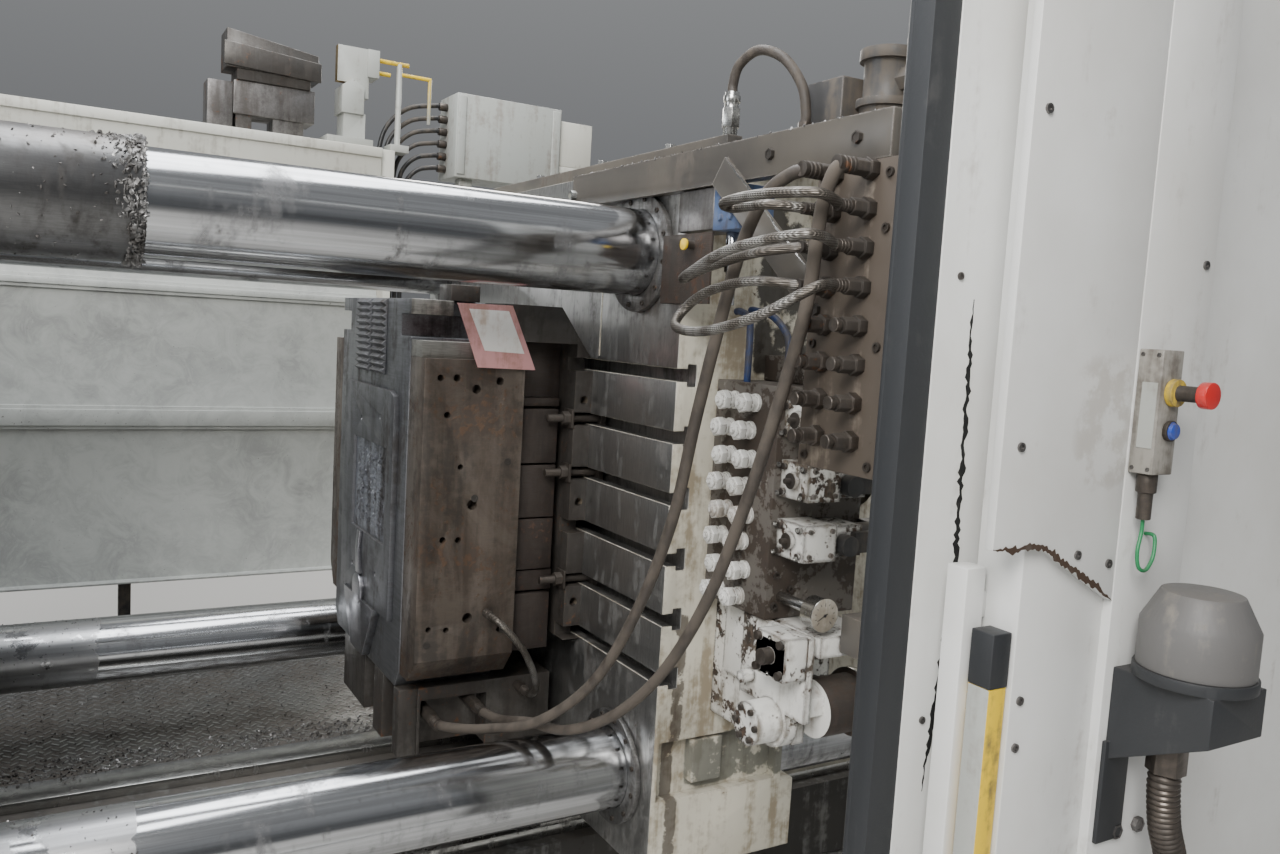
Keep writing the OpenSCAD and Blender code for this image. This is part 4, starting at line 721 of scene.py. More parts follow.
def moving_platen_finish(c, n):
    """Ground shoes, bare front face, T-slots and back, and cream paint on the rest."""
    if c.z < SHOE_TOP and abs(c.y) < SHOE_REACH:
        return 2
    slot_wall = abs(n.z) > 0.9 and c.x > 0.003 and abs(c.z - AXIS_Z) < SLOTS_HALF_HEIGHT
    return 1 if c.x < SLOT_DEPTH and (n.x < -0.7 or slot_wall) or n.x > 0.9 else 0


skin("moving_platen", 0.003, M["cream"], M["face"], M["bright"], pick=moving_platen_finish)
skin("fixed_platen", 0.003, M["cream"], M["face"], pick=fixed_platen_finish)
skin("end_platen", 0.003, M["cream"])
skin("bed", 0.003, M["bed"], M["bright"], pick=lambda c, n: 1 if c.z > 0.2702 else 0)
skin("tie_bars", 0.001, M["bar"])
skin("tie_bar_nuts", 0.004, M["dull"])
skin("tie_bar_sleeve", 0.001, M["sleeve"])
skin("bar_bushes", 0.0015, M["bush"])
skin("closing_ram", 0.001, M["bar"])
skin("closing_cylinder", 0.003, M["cylinder"])
skin("cover_die", 0.003, M["die"])
skin("shot_sleeve", 0.001, M["dull"])
skin("injection_frame", 0.003, M["cream"])
skin("shot_cylinder", 0.002, M["cylinder"])
skin("accumulators", 0.001, M["bottle"])
skin("rear_guard_frame", 0.003, M["cream rail"], M["black"],
     pick=lambda c, n: 1 if abs(c.x + 0.935) < 0.03 and c.z < 2.07 else 0)  # the black middle post
skin("rear_guard_panels", 0.001, M["sheet"])
skin("chute_plate", 0.001, M["chequer"])
skin("tool_block", 0.003, M["dull"], M["oily"], pick=lambda c, n: 1 if c.z > 2.52 else 0)
skin("air_unit", 0.002, M["grey box"], M["brass"], M["yellow"],
     # brass, pipe
     pick=lambda c, n: 0 if c.z <= 2.58 else 1 if c.x < -0.12 else 2 if c.x > 0.005 and c.z > 2.6 else 0)
skin("hose_box", 0.003, M["grey box"], M["cream rail"], M["fitting"],
     # fittings on the left, small box on the right
     pick=lambda c, n: 2 if c.x < 0.3425 else 1 if c.x > 0.8462 else 0)
skin("guard_posts", 0.002, M["guard"])
skin("door_track", 0.002, M["guard"])
skin("post_cover", 0.001, M["guard"])
skin("light_curtain", 0.002, M["yellow"], M["charcoal"], M["grey box"],
     pick=lambda c, n: 1 if c.z > 1.1482 else 2 if n.x < -0.9 and c.z > 0.07 else 0)
skin("button_box", 0.003, M["taupe"], M["fitting"], pick=lambda c, n: 1 if c.z < 1.4718 else 0)
skin("push_buttons", 0.0015, M["red"], M["blue"], M["yellow"], M["fitting"],
     pick=lambda c, n: (1 if c.y < -1.848 else 3) if c.z < 1.565 else 2 if c.y > -1.8525
     else 3 if c.y > -1.888 else 0)
CONDUIT_TOP = CONDUIT[0]


def palm_switch_finish(c, n):
    """Grey dome, black bracket, and the conduit's gland below it."""
    if c.z > 1.1782:
        return 1
    gland = abs(c.x - CONDUIT_TOP[0] / 1000) < 0.031 and abs(c.y - CONDUIT_TOP[1] / 1000) < 0.031
    return 2 if c.z < 1.056 and gland else 0


skin("palm_switch", 0.003, M["charcoal"], M["dome"], M["fitting"], pick=palm_switch_finish)
skin("door_leaf", 0.002, M["guard"], M["dull"], pick=lambda c, n: 1 if c.z > 2.35 else 0)
skin("door_seal", 0.002, M["charcoal"])
# The clamp plate's edge that faces the die is tan: a painted highlight for the lit edge
skin("clamp_plate", 0.002, M["oily"], M["clamp lit edge"],
     pick=lambda c, n: 1 if n.x < -0.7 and c.y < -0.38 and 0.83 < c.z < 1.557 else 0)  # its edge, painted tan as a highlight
skin("ejector_box", 0.002, M["box"])
skin("die_block", 0.002, M["die"], M["oily"], M["lip"],
     pick=lambda c, n: 1 if c.z < 0.7049 or c.z > 1.6901 else 2 if c.y < -0.30 and c.z > 1.651 else 0)
skin("die_insert", 0.0008, M["insert"], M["runner"],
     # runner and its foot
     pick=lambda c, n: 1 if c.x < -0.4556 and c.z < 1.06 or c.z < 0.864 and n.x < -0.5 else 0)
skin("side_cores", 0.002, M["core"], M["lip"], pick=lambda c, n: 1 if c.z > 1.5501 and c.y < 0 else 0)
skin("die_clamps", 0.001, M["fitting"])
skin("die_tag", 0.0002, M["tag"], M["paper"], pick=lambda c, n: 1 if c.y < -0.45112 else 0)
skin("top_beam", 0.003, M["beam"], M["bright"],
     pick=lambda c, n: 1 if c.x < -0.031 and c.y > -0.5 or c.z > 2.0852 else 0)
skin("coupling_plate", 0.002, M["tan"])
skin("hose_fittings", 0.001, M["fitting"])
skin("upper_valves", 0.003, M["black cast"], M["enamel"], M["fitting"],
     pick=lambda c, n: 1 if c.x > 0.3302 else 2 if c.x < 0.17 and c.z > 2.0605 else 0)
skin("valve_block", 0.003, M["block"])
skin("directional_valves", 0.002, M["chipped"], M["black"], M["black cast"], M["fitting"],
     pick=lambda c, n: (1 if c.x > 0.3451 or c.y < -1.1622 and c.x > 0.216 else 2 if c.x > 0.292
                        else 3 if c.x < 0.1215 else 0))  # plugs, solenoids, end screws, bodies
skin("lower_manifold", 0.003, M["chipped"], M["black cast"], M["fitting"],
     pick=lambda c, n: 1 if c.y < -1.2222 else 2 if c.x < 0.0575 else 0)
COUPLING_AXIS, COUPLING_RING_R = (-1.165, 0.872), 0.0635


def coupling_finish(c, n):
    """Rusty body, bright clamp ring and the white hexagon."""
    ring = (c.y - COUPLING_AXIS[0]) ** 2 + (c.z - COUPLING_AXIS[1]) ** 2 > COUPLING_RING_R ** 2
    return 1 if 0.2895 < c.x < 0.32 and ring else 2 if c.x < 0.1865 else 0


skin("pipe_coupling", 0.002, M["brown"], M["bright"], M["enamel"], pick=coupling_finish)
skin("pressure_gauge", 0.001, M["bright"], M["dial"],
     pick=lambda c, n: 1 if n.y < -0.9 and c.y < -1.2255 else 0)
skin("core_cylinder", 0.002, M["dull"], M["blue paint"], M["bar"],
     pick=lambda c, n: 2 if c.z < 1.857 and c.y < -0.986 else 1 if c.y < -0.9851 else 0)
skin("sensor_shield", 0.001, M["brown"], M["yellow"], M["fitting"],
     pick=lambda c, n: 1 if c.x < -0.0521 else 2 if c.x < -0.033 else 0)


# Geometry Nodes: screws on points, chequer dashes, and flakes strewn over faces
def tree_of(name, sockets):
    """A node group with a geometry input and output and the named inputs given as (name, kind, value)."""
    t = bpy.data.node_groups.new(name, "GeometryNodeTree")
    t.interface.new_socket(name="Geometry", in_out="INPUT", socket_type="NodeSocketGeometry")
    t.interface.new_socket(name="Geometry", in_out="OUTPUT", socket_type="NodeSocketGeometry")
    for label, kind, value in sockets:
        s = t.interface.new_socket(name=label, in_out="INPUT", socket_type=kind)
        if value is not None:
            s.default_value = value
    t.interface.new_socket(name="Finish", in_out="INPUT", socket_type="NodeSocketMaterial")
    return t, t.nodes.new("NodeGroupInput").outputs, t.nodes.new("NodeGroupOutput").inputs


def finish_tree(t, ins, outs, geometry):
    real = node(t, "GeometryNodeRealizeInstances", {0: geometry}).outputs[0]
    t.links.new(node(t, "GeometryNodeSetMaterial", {"Geometry": real, "Material": ins["Finish"]}).outputs[0],
                outs[0])
    return t


def screw_tree():
    """A screw head on each point, turned to the point's facing: round with a socket, or of few sides."""
    t, ins, outs = tree_of("screw heads", [("Sides", "NodeSocketInt", 18), ("Radius", F, 0.008),
                                           ("Height", F, 0.005),
                                           ("Socket", F, 0.5), ("Depth", F, 0.003)])
    rod = node(t, "GeometryNodeMeshCylinder", {"Vertices": ins["Sides"], "Radius": ins["Radius"],
                                               "Depth": ins["Height"]})
    lift = node(t, "ShaderNodeCombineXYZ", {2: calc(t, "MULTIPLY", ins["Height"], 0.5)}).outputs[0]
    inset = node(t, "GeometryNodeExtrudeMesh", {"Mesh": rod.outputs["Mesh"], "Selection": rod.outputs["Top"],
                                                "Offset Scale": 0.0}, mode="FACES")
    small = node(t, "GeometryNodeScaleElements", {"Geometry": inset.outputs["Mesh"],
                                                  "Selection": inset.outputs["Top"],
                                                  "Scale": ins["Socket"]})
    sunk = node(t, "GeometryNodeExtrudeMesh", {"Mesh": small.outputs["Geometry"],
                                               "Selection": inset.outputs["Top"],
                                               "Offset Scale": calc(t, "MULTIPLY", ins["Depth"], -1.0)},
                mode="FACES")
    head = node(t, "GeometryNodeTransform", {"Geometry": sunk.outputs["Mesh"], "Translation": lift}).outputs[0]
    facing = node(t, "GeometryNodeInputNamedAttribute", {"Name": "facing"}, data_type="FLOAT_VECTOR").outputs[0]
    turn = node(t, "FunctionNodeAlignRotationToVector", {"Vector": facing}, axis="Z").outputs[0]
    put = node(t, "GeometryNodeInstanceOnPoints", {"Points": ins["Geometry"], "Instance": head,
                                                   "Rotation": turn})
    return finish_tree(t, ins, outs, put.outputs[0])


def dash_tree():
    """Chequer plate: two shifted grids of short dashes that cross at right angles."""
    t, ins, outs = tree_of("chequer dashes", [("Size X", F, 2.0), ("Size Y", F, 1.0), ("Pitch", F, 0.036),
                                              ("Dash", F, 0.024)])
    bar = node(t, "GeometryNodeMeshCube", {"Size": node(t, "ShaderNodeCombineXYZ", {
        0: ins["Dash"], 1: calc(t, "MULTIPLY", ins["Dash"], 0.24), 2: 0.0024}).outputs[0]}).outputs["Mesh"]
    join = t.nodes.new("GeometryNodeJoinGeometry")
    for turn, shift in ((math.pi / 4, 0.0), (-math.pi / 4, 0.5)):
        grid = node(t, "GeometryNodeMeshGrid", {
            "Size X": ins["Size X"], "Size Y": ins["Size Y"],
            "Vertices X": calc(t, "DIVIDE", ins["Size X"], ins["Pitch"]),
            "Vertices Y": calc(t, "DIVIDE", ins["Size Y"], ins["Pitch"])}).outputs["Mesh"]
        part = calc(t, "MULTIPLY", ins["Pitch"], shift)
        moved = node(t, "GeometryNodeTransform", {"Geometry": grid, "Translation": node(
            t, "ShaderNodeCombineXYZ", {0: part, 1: part}).outputs[0]}).outputs[0]
        put = node(t, "GeometryNodeInstanceOnPoints", {"Points": moved, "Instance": bar})
        put.inputs["Rotation"].default_value = (0.0, 0.0, turn)
        t.links.new(put.outputs[0], join.inputs[0])
    place = node(t, "GeometryNodeSetPosition", {"Geometry": join.outputs[0]})
    return finish_tree(t, ins, outs, place.outputs[0])


def flake_tree():
    """Crumbs and flakes of flash strewn over the faces of the given mesh."""
    t, ins, outs = tree_of("flash flakes", [("Density", F, 900.0), ("Small", F, 0.002), ("Large", F, 0.007),
                                            ("Flat", F, 0.4), ("Seed", "NodeSocketInt", 1)])
    pts = node(t, "GeometryNodeDistributePointsOnFaces", {"Mesh": ins["Geometry"], "Density": ins["Density"],
                                                          "Seed": ins["Seed"]})
    crumb = node(t, "GeometryNodeMeshIcoSphere", {"Radius": 1.0, "Subdivisions": 1}).outputs["Mesh"]
    turn = node(t, "FunctionNodeRandomValue", {0: (0.0, 0.0, 0.0), 1: (6.28, 6.28, 6.28), "Seed": ins["Seed"]},
                data_type="FLOAT_VECTOR").outputs[0]
    size = node(t, "FunctionNodeRandomValue", {2: ins["Small"], 3: ins["Large"], "Seed": ins["Seed"]},
                data_type="FLOAT").outputs[1]
    shape = node(t, "ShaderNodeCombineXYZ", {0: size, 1: calc(t, "MULTIPLY", size, 0.65),
                                             2: calc(t, "MULTIPLY", size, ins["Flat"])}).outputs[0]
    put = node(t, "GeometryNodeInstanceOnPoints", {"Points": pts.outputs["Points"], "Instance": crumb,
                                                   "Rotation": turn, "Scale": shape})
    return finish_tree(t, ins, outs, put.outputs[0])


SCREWS, DASHES, FLAKES = screw_tree(), dash_tree(), flake_tree()


def grown(name, me, tree, body, mat, values, drop=(0.0, 0.0, 0.0)):
    """Run a geometry tree on a mesh and keep the result as a plain mesh that rides on a body."""
    o = bpy.data.objects.new(name, me)
    bpy.context.scene.collection.objects.link(o)
    mod = o.modifiers.new("grow", "NODES")
    mod.node_group = tree
    values = dict(values, Finish=mat)
    for item in tree.interface.items_tree:
        if item.in_out == "INPUT" and item.name in values:
            mod[item.identifier] = values[item.name]
    deps = bpy.context.evaluated_depsgraph_get()
    new = bpy.data.meshes.new_from_object(o.evaluated_get(deps), preserve_all_data_layers=False, depsgraph=deps)
    o.modifiers.remove(mod)
    o.data = new
    new.transform(Matrix.Translation(drop))
    shade(new, 40)
    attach(o, body)
    return o


def screws(name, body, mat, spots, radius, height, sides=18, socket=0.55, depth=0.6):
    """Screw heads at spots, each a place in mm and the way that it faces."""
    me = bpy.data.meshes.new(name)
    me.from_pydata([tuple(v / 1000 for v in p) for p, _ in spots], [], [])
    facing = me.attributes.new("facing", "FLOAT_VECTOR", "POINT")
    for k, (_, way) in enumerate(spots):
        facing.data[k].vector = way
    return grown(name, me, SCREWS, body, mat, {"Sides": sides, "Radius": radius / 1000, "Height": height / 1000,
                                               "Socket": socket, "Depth": depth * height / 1000})


def flakes(name, body, mat, faces, density, small, large, flat, seed):
    """Flakes over four-cornered faces given in mm."""
    me = bpy.data.meshes.new(name)
    verts = [tuple(v / 1000 for v in p) for q in faces for p in q]
    me.from_pydata(verts, [], [tuple(range(4 * k, 4 * k + 4)) for k in range(len(faces))])
    return grown(name, me, FLAKES, body, mat, {"Density": density, "Small": small / 1000, "Large": large / 1000,
                                               "Flat": flat, "Seed": seed})


LEFT, FRONT = (-1.0, 0.0, 0.0), (0.0, -1.0, 0.0)
BAR_Y, BAR_LOW, BAR_HIGH = 665.0, 575.0, 1825.0
WIPER_FACE, WIPER_SCREW_R = -15.0, 124.0
BLOCK_FRONT = -1080.0


def round_of(x, y, z, r, count, turn=0.0):
    """Spots round a centre on a face that looks along -X."""
    return [((x, y + r * math.cos(turn + 2 * math.pi * k / count),
              z + r * math.sin(turn + 2 * math.pi * k / count)), LEFT)
            for k in range(count)]


screws("wiper_screws", "platen", M["fitting"],
       [s for y in (-BAR_Y, BAR_Y) for z in (BAR_LOW, BAR_HIGH)
        for s in round_of(WIPER_FACE, y, z, WIPER_SCREW_R, 12, 0.2)], 6, 4)
# Valve caps and the manifold's round cap
VALVE_X, VALVE_Y, VALVE_Z = 116.0, -1126, [1479, 1353, 1227]
CAP_X, CAP_Y, CAP_Z = 59.7, -1171, 1003
screws("valve_screws", "platen", M["bright"],
       [((VALVE_X, VALVE_Y + dy, z + dz), LEFT) for z in VALVE_Z for dy in (-37, 37) for dz in (-30, 30)]
       + [((CAP_X, CAP_Y + dy, CAP_Z + dz), LEFT) for dy in (-40, 0, 40) for dz in (-37, 37)], 5, 4)
screws("valve_body_screws", "platen", M["black cast"],
       [((x, BLOCK_FRONT - 92, z + dz), FRONT) for z in VALVE_Z for x in (142, 200) for dz in (-26, 26)], 5.5,
       5)
screws("block_bolts", "platen", M["fitting"],
       [((132 + 42 * (k % 2), BLOCK_FRONT, 1075 + 34 * k), FRONT) for k in range(4)], 8, 7)
# Guards
screws("cover_screws", "machine", M["dull"],
       [((x, -1800.3, z), FRONT) for x, z in ((-22, 1512), (127, 1347), (204, 1329), (-30, 1980), (120, 2240),
                                              (-30, 2240))]
       + [((47, -1785, 1126), FRONT), ((46, -1785, 1053), FRONT), ((47, -1785, 420), FRONT)]
       + [((x, -1800, z), FRONT) for x, z in ((375, 1250), (375, 1800), (250, 300), (375, 300))], 7, 3.5,
       socket=0.5)
screws("bracket_bolts", "machine", M["dull"], [((291, -1800, 880), FRONT), ((349, -1800, 880), FRONT)], 13, 9,
       sides=6,
       socket=0.7, depth=0.15)
screws("door_screws", "door", M["dull"], [((-20, -1660, z), FRONT) for z in (420, 1060, 1755, 2200)], 6, 3)
screws("button_box_screws", "machine", M["dull"],
       [((228, y, z), LEFT) for y in (-1833, -1807) for z in (1480, 1654)], 3.2, 1.5)
# Core face, clamp plate, top beam and rear guard
screws("core_screws", "platen", M["oily"],
       [((x, -430, z), FRONT) for x, z in ((-408, 850), (-408, 1090), (-210, 870), (-216, 1300),
                                           (-300, 1210))], 9, 2)
screws("beam_bolts", "platen", M["oily"], [((-30, y, 1990), LEFT) for y in (-1180, -1420)]
       + [((-30, -1345, 1700), LEFT)], 11, 8, sides=6, socket=0.7, depth=0.15)
screws("coupling_screws", "platen", M["fitting"],
       [((-30, y, z), LEFT) for y in (-1342, -1505) for z in (1440, 1640, 1835, 1925)], 8, 5)
screws("rail_screws", "machine", M["dull"],
       [((-1600 + 400 * k, 1595, 2120), FRONT) for k in range(5)], 8, 4)

# Chequer plate behind the bed
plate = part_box("chute_plate")
size_x, size_y = plate[1][0] - plate[0][0] - 0.06, plate[1][1] - plate[0][1] - 0.08
grown("chequer_dashes", bpy.data.meshes.new("chequer_dashes"), DASHES, "machine", M["dash"],
      {"Size X": size_x, "Size Y": size_y, "Pitch": 0.040, "Dash": 0.028},
      ((plate[0][0] + plate[1][0]) / 2 - 0.01, (plate[0][1] + plate[1][1]) / 2 - 0.01, plate[1][2]))


def ring_faces(x0, x1, y, z, r0, r1, count):
    """Four-cornered faces of a cone round a bar, in mm."""
    turns = [2 * math.pi * k / count for k in range(count + 1)]
    return [[(x0, y + r0 * math.cos(a), z + r0 * math.sin(a)), (x1, y + r1 * math.cos(a), z + r1 * math.sin(a)),
             (x1, y + r1 * math.cos(b), z + r1 * math.sin(b)), (x0, y + r0 * math.cos(b), z + r0 * math.sin(b))]
            for a, b in zip(turns, turns[1:])]


SLEEVE_END, SLEEVE_R = -1065.0, 112.0
flakes("sleeve_flash", "machine", M["flash"], ring_faces(SLEEVE_END - 24, SLEEVE_END + 3, -BAR_Y, BAR_HIGH,
                                                         SLEEVE_R,
                                                         SLEEVE_R + 3, 36), 30000, 2.0, 10.0, 0.35, 4)
flakes("sleeve_clumps", "machine", M["flash"], ring_faces(SLEEVE_END - 46, SLEEVE_END - 20, -BAR_Y, BAR_HIGH,
                                                          SLEEVE_R,
                                                          SLEEVE_R + 1, 36)[7:20], 16000, 2.0, 8.0, 0.3, 17)
flakes("sleeve_clumps_top", "machine", M["flash"], ring_faces(SLEEVE_END - 78, SLEEVE_END - 40, -BAR_Y,
                                                              BAR_HIGH, SLEEVE_R,
                                                              SLEEVE_R, 36)[8:15], 8000, 1.5, 8.0, 0.3, 18)
flakes("sleeve_flash_rim", "machine", M["flash"], ring_faces(SLEEVE_END, SLEEVE_END + 1, -BAR_Y, BAR_HIGH,
                                                             103.0,
                                                             SLEEVE_R + 4, 36), 60000, 2.0, 6.0, 0.5, 5)
flakes("plate_crumbs", "machine", M["flash"], [[(-1780, 420, 291), (380, 420, 291), (380, 1560, 291),
                                                (-1780, 1560, 291)]],
       700, 1.5, 6.0, 0.3, 7)
flakes("plate_heap", "machine", M["flash"], [[(-1780, 1380, 291), (300, 1380, 291), (300, 1590, 291),
                                              (-1780, 1590, 291)],
                                             [(-1780, 415, 291), (300, 415, 291), (300, 560, 291),
                                              (-1780, 560, 291)]],
       3800, 2.0, 9.0, 0.35, 8)
RAIL_TOP, RAIL_Y, CRUMBS_FROM, CRUMBS_TO = 300, 400, -1780, -1015
flakes("bed_crumbs", "machine", M["flash"],
       [[(CRUMBS_FROM, s * RAIL_Y - 50, RAIL_TOP), (CRUMBS_TO, s * RAIL_Y - 50, RAIL_TOP),
         (CRUMBS_TO, s * RAIL_Y + 50, RAIL_TOP), (CRUMBS_FROM, s * RAIL_Y + 50, RAIL_TOP)] for s in (-1, 1)],
       1500, 1.5, 6.0, 0.35, 9)
flakes("sleeve_spots", "machine", M["flash"], ring_faces(-1300, -1090, -BAR_Y, BAR_HIGH, 112.0, 112.0, 36),
       1500, 1.0, 5.0,
       0.3, 14)
flakes("low_bar_spots", "machine", M["flash"], ring_faces(-1400, -1060, -BAR_Y, BAR_LOW, 100.4, 100.4, 36)
       + ring_faces(-1400, -1070, BAR_Y, BAR_LOW, 100.4, 100.4, 36), 1500, 0.8, 4.0, 0.25, 15)
flakes("beam_crumbs", "platen", M["flash"],
       [[(-30, -1500, 2030), (0, -1500, 2030), (0, -350, 2030), (-30, -350, 2030)]], 9000, 1.5, 5.0, 0.4, 16)


def solid(name, body, mats, build):
    """A piece whose mesh the function fills."""
    bm = bmesh.new()
    build(bm)
    bmesh.ops.recalc_face_normals(bm, faces=bm.faces)
    me = bpy.data.meshes.new(name)
    bm.to_mesh(me)
    bm.free()
    shade(me, 35)
    return object_of(name, me, body, mats)


def turned(bm, place, way, profile, sides=24, mat=0):
    """A turned form: profile holds (distance, radius) in mm along the way from the place."""
    way = Vector(way).normalized()
    a = way.orthogonal().normalized()
    b = way.cross(a)
    place = Vector(place) / 1000
    rings = []
    for d, r in profile:
        rings.append([bm.verts.new(place + way * (d / 1000) + (math.cos(t) * a + math.sin(t) * b)
                                   * (max(r, 0.01) / 1000))
                      for t in [2 * math.pi * k / sides for k in range(sides)]])
    faces = [bm.faces.new((p[k], p[(k + 1) % sides], q[(k + 1) % sides], q[k]))
             for p, q in zip(rings, rings[1:]) for k in range(sides)]
    faces.append(bm.faces.new(list(reversed(rings[0]))))
    faces.append(bm.faces.new(rings[-1]))
    for f in faces:
        f.material_index = mat


FERRULE = [(0, 13), (0.5, 14.5), (6, 14.5), (7, 12.8), (9, 12.8), (10, 14.2), (15, 14.2), (16, 12.8),
           (18, 12.8),
           (19, 14.2), (24, 14.2), (25, 12.8), (27, 12.8), (28, 14.0), (36, 14.0), (37, 12.0)]


def ferrules(name, mat, ends, scale=1.0):
    """Crimped sleeves over hose ends: each end is the fitting's face and the way that the hose leaves it."""
    def build(bm):
        for place, way in ends:
            turned(bm, place, way, [(d * min(1.0, scale), r * scale) for d, r in FERRULE])
    return solid(name, "platen", [mat], build)


COLUMN_Y, ROW_Z = (-1375, -1463), [1933 - 65 * k for k in range(8)]
ferrules("long_hose_ferrules", M["fitting"],
         [((-75, y, ROW_Z[0]), LEFT) for y in COLUMN_Y] + [((-360, -375, 632), FRONT),
                                                           ((-243, -375, 650), FRONT)], 1.0)
ferrules("jumper_ferrules", M["fitting"], [((-75, y, z), LEFT) for y in COLUMN_Y for z in ROW_Z[1:4]], 0.76)
ferrules("core_hose_ferrules", M["fitting"], [((-256, -430.4, 918), FRONT), ((-115, -375, 680), FRONT)], 0.76)


def caps(bm):
    """Hexagon nuts with turned plugs on the lower couplings."""
    for y in COLUMN_Y:
        for z in ROW_Z[4:]:
            turned(bm, (-75, y, z), LEFT, [(0, 13), (1, 13), (1.2, 9), (8, 9), (8.2, 12), (16, 12), (17, 11)],
                   16)


solid("coupling_caps", "platen", [M["fitting"]], caps)


PLUG = [(0, 20), (6, 20), (6.5, 15), (18, 15), (18.5, 19.5), (24, 19.5), (24.5, 16)]
PLUG_HEX = [(25, 21), (27, 22.4), (40, 22.4), (42, 20.5)]
PLUG_TIP = [(42.3, 15), (46, 15), (47.5, 12), (48, 7), (52, 6.5)]


PLUG_X, PLUG_COLUMNS, PLUG_TOP, PLUG_PITCH, PLUG_ROWS, PLUG_SHIFT = 109.7, (-926, -1002), 1504, 61, 8, 13


def plugs(bm):
    """Port plugs in rows: a turned neck, a hexagon and a round tip on each."""
    for k in range(PLUG_ROWS):
        for y in PLUG_COLUMNS:
            place = (PLUG_X, y + PLUG_SHIFT * (k % 2), PLUG_TOP - PLUG_PITCH * k)
            turned(bm, place, LEFT, PLUG, 20)
            turned(bm, place, LEFT, PLUG_HEX, 6)
            turned(bm, place, LEFT, PLUG_TIP, 16)


rows = solid("port_plug_rows", "platen", [M["enamel"]], plugs)
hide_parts("port_plugs")


DIAL = Vector((150, -1226.2, 1092))
DIAL_MARKS, DIAL_START, DIAL_STEP, POINTER_AT = 11, 225, -27, 208
MARK_FROM, LONG_MARK_FROM, MARK_TO = 22, 19, 26


def on_dial(bm, centre, degrees, corners):
    """A flat face on the dial: corners are (along, across) in mm from the centre, turned by degrees."""
    a = math.radians(degrees)
    u, v = Vector((math.cos(a), 0, math.sin(a))), Vector((-math.sin(a), 0, math.cos(a)))
    bm.faces.new([bm.verts.new((centre + u * r + v * w) / 1000) for r, w in corners])


def gauge(bm):
    """The gauge's marks and pointer on its dial, with a boss."""
    for k in range(DIAL_MARKS):
        r = MARK_FROM if k % 5 else LONG_MARK_FROM
        on_dial(bm, DIAL, DIAL_START + DIAL_STEP * k, ((r, -0.8), (MARK_TO, -0.8), (MARK_TO, 0.8), (r, 0.8)))
    on_dial(bm, DIAL + Vector((0, -0.6, 0)), POINTER_AT, ((-7, -1.6), (22, -0.5), (22, 0.5), (-7, 1.6)))
    turned(bm, DIAL, FRONT, [(0, 3.2), (1.6, 3.2), (2.0, 2.2)], 12)


solid("gauge_marks", "platen", [M["black"]], gauge)


CAVITY_Y, CAVITY_Z, CAVITY_X = (-198, 113), (1052, 1303), -446.4
CAVITY_CELLS = (78, 64)


def rough_cast(bm):
    """The die cavity's rough floor: a sheet of small lumps and pits, flat at its rim."""
    (y0, y1), (z0, z1), x = CAVITY_Y, CAVITY_Z, CAVITY_X
    nu, nv = CAVITY_CELLS
    rows = []
    for i in range(nu + 1):
        row = []
        for j in range(nv + 1):
            u, v = i / nu, j / nv
            p = Vector((y0 + (y1 - y0) * u, z0 + (z1 - z0) * v, 0))
            rim = min(1.0, 8 * min(u, 1 - u, v, 1 - v))
            n = fractal(p * 0.022, 0.9, 2.2, 4) * 3.0 + abs(fractal(p * 0.06, 0.8, 2.1, 3)) * 7.5
            row.append(bm.verts.new((x - rim * max(-1.5, min(9.5, n)), p.x, p.y)))
        rows.append(row)
    for a, b in zip(rows, rows[1:]):
        for j in range(nv):
            bm.faces.new((a[j], a[j + 1], b[j + 1], b[j]))
    for v in bm.verts:
        v.co /= 1000


solid("cavity_floor", "platen", [M["cast"]], rough_cast)


def ragged(name, body, mat, line, lo, hi, step, seed, way, lift):
    """A torn strip along points in mm. Its width wanders between lo and hi, and way is across the strip."""
    rnd = random.Random(seed)
    pts = [Vector(p) for p in line]
    total = sum((b - a).length for a, b in zip(pts, pts[1:]))
    count = int(total / step)
    spots, k, gone = [], 0, 0.0
    for i in range(count + 1):
        want = total * i / count
        while k < len(pts) - 2 and gone + (pts[k + 1] - pts[k]).length < want:
            gone += (pts[k + 1] - pts[k]).length
            k += 1
        spots.append(pts[k].lerp(pts[k + 1], (want - gone) / (pts[k + 1] - pts[k]).length))
    across, off = Vector(way), Vector(lift)

    def build(bm):
        wander, rows = 0.0, []
        for i, p in enumerate(spots):
            wander = 0.75 * wander + rnd.uniform(-1.0, 1.0)
            end = min(1.0, 6 * min(i, count - i) / count + 0.1)
            w0 = end * (lo + (hi - lo) * rnd.random() ** 2)
            w1 = end * (lo + (hi - lo) * rnd.random() ** 2)
            mid = p + across * wander * 1.5
            rows.append([bm.verts.new((mid + across * w + off * h) / 1000)
                         for w, h in ((-w0, 1), (-w0, 0), (w1, 0), (w1, 1))])
        for a, b in zip(rows, rows[1:]):
            for j in range(4):
                bm.faces.new((a[j], a[(j + 1) % 4], b[(j + 1) % 4], b[j]))
        bm.faces.new(rows[0])
        bm.faces.new(list(reversed(rows[-1])))
    return solid(name, body, [mat], build)


# A near-black jagged strip on the door's front face, along the joint between the white profile and the sheet
ragged("door_torn_edge", "door", M["hole"],
       [(14, -1660, 1722), (18, -1660, 1536), (22, -1660, 1410), (24, -1660, 1314), (14, -1660, 1184),
        (6, -1660, 1086),
        (-2, -1660, 1000), (-8, -1660, 940)], 2.0, 9.0, 7.0, 11, (1, 0, 0), (0, -0.6, 0))
ragged("cover_torn_edge", "machine", M["torn"], [(-60, -1800.3, 1366), (46, -1800.3, 1366),
                                                 (222, -1800.3, 1270)],
       2.0, 8.0, 5.0, 12, (0.3, 0, 1), (0, -0.9, 0))


# A thin strip of bright ground steel along the brace's edge: a painted highlight
ragged("brace_painted_highlight", "platen", M["bright"], [(-38.2, -1037, 2000), (-38.2, -1320, 1775)], 1.0, 3.0, 8.0,
       21,
       (0, 0.62, -0.78), (-0.4, 0, 0))


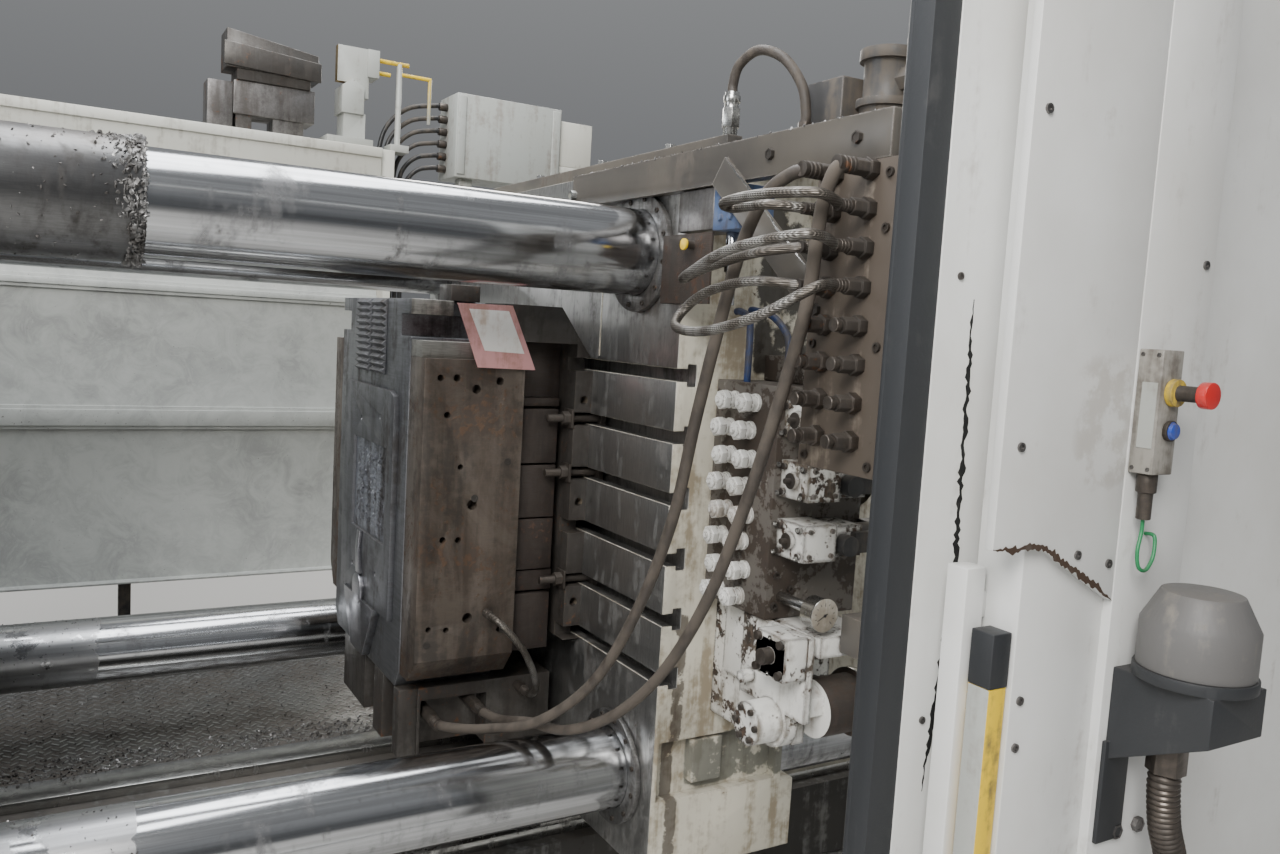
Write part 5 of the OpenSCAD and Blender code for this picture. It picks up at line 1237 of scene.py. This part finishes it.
PLATE_X, PLATE_Y, PLATE_Z, PLATE_MM = 227.4, (-1836, -1811), (1512, 1612), 0.9


def label(bm):
    """Bare plate on the side of the button box."""
    x, (y0, y1), (z0, z1) = PLATE_X, PLATE_Y, PLATE_Z
    bmesh.ops.create_cube(bm, size=1.0, matrix=Matrix.Translation((x / 1000, (y0 + y1) / 2000,
                                                                   (z0 + z1) / 2000))
                          @ Matrix.Diagonal((PLATE_MM / 1000, (y1 - y0) / 1000, (z1 - z0) / 1000, 1.0)))


solid("blank_plate", "machine", [M["grey box"]], label)


# Floor and soft studio light
FLOOR_TONE, FLOOR_ROUGH, WORLD_STRENGTH = (0.56, 0.55, 0.53), 0.8, 0.42


def stage():
    """A pale floor, a soft sky and four area lights."""
    me = bpy.data.meshes.new("floor")
    me.from_pydata([(-16, -12, 0), (16, -12, 0), (16, 14, 0), (-16, 14, 0)], [], [(0, 1, 2, 3)])
    floor = bpy.data.objects.new("floor", me)
    mat = bpy.data.materials.new("floor")
    mat.use_nodes = True
    mat.node_tree.nodes["Principled BSDF"].inputs["Base Color"].default_value = rgb(FLOOR_TONE)
    mat.node_tree.nodes["Principled BSDF"].inputs["Roughness"].default_value = FLOOR_ROUGH
    me.materials.append(mat)
    bpy.context.scene.collection.objects.link(floor)
    world = bpy.data.worlds.new("studio")
    bpy.context.scene.world = world
    world.use_nodes = True
    back = world.node_tree.nodes["Background"]
    tree = world.node_tree
    height = node(tree, "ShaderNodeSeparateXYZ",
                  {0: node(tree, "ShaderNodeTexCoord").outputs["Generated"]}).outputs["Z"]
    sky = blend(tree, ramp(tree, height, -0.1, 0.75), (0.30, 0.31, 0.325), (0.92, 0.94, 0.96))
    tree.links.new(sky, back.inputs["Color"])
    back.inputs["Strength"].default_value = WORLD_STRENGTH
    for name, place, aim, size, power, tint in (
            ("key", (-3.6, -4.2, 4.6), (0.0, -0.8, 1.2), (2.6, 2.6), 430.0, (1.0, 0.98, 0.95)),
            ("top", (-0.6, 0.2, 5.2), (-0.4, 0.0, 1.0), (4.5, 2.2), 260.0, (0.96, 0.98, 1.0)),
            ("fill", (-5.5, 0.5, 2.2), (0.0, 0.0, 1.3), (2.2, 3.0), 115.0, (0.92, 0.96, 1.0)),
            ("rear", (2.5, 4.2, 4.0), (0.0, 0.5, 1.6), (3.0, 2.0), 160.0, (1.0, 0.97, 0.92))):
        data = bpy.data.lights.new(name, "AREA")
        data.shape, data.size, data.size_y = "RECTANGLE", size[0], size[1]
        data.energy, data.color = power, tint
        lamp = bpy.data.objects.new(name, data)
        lamp.location = place
        lamp.rotation_euler = (Vector(aim) - Vector(place)).to_track_quat("-Z", "Y").to_euler()
        bpy.context.scene.collection.objects.link(lamp)


stage()
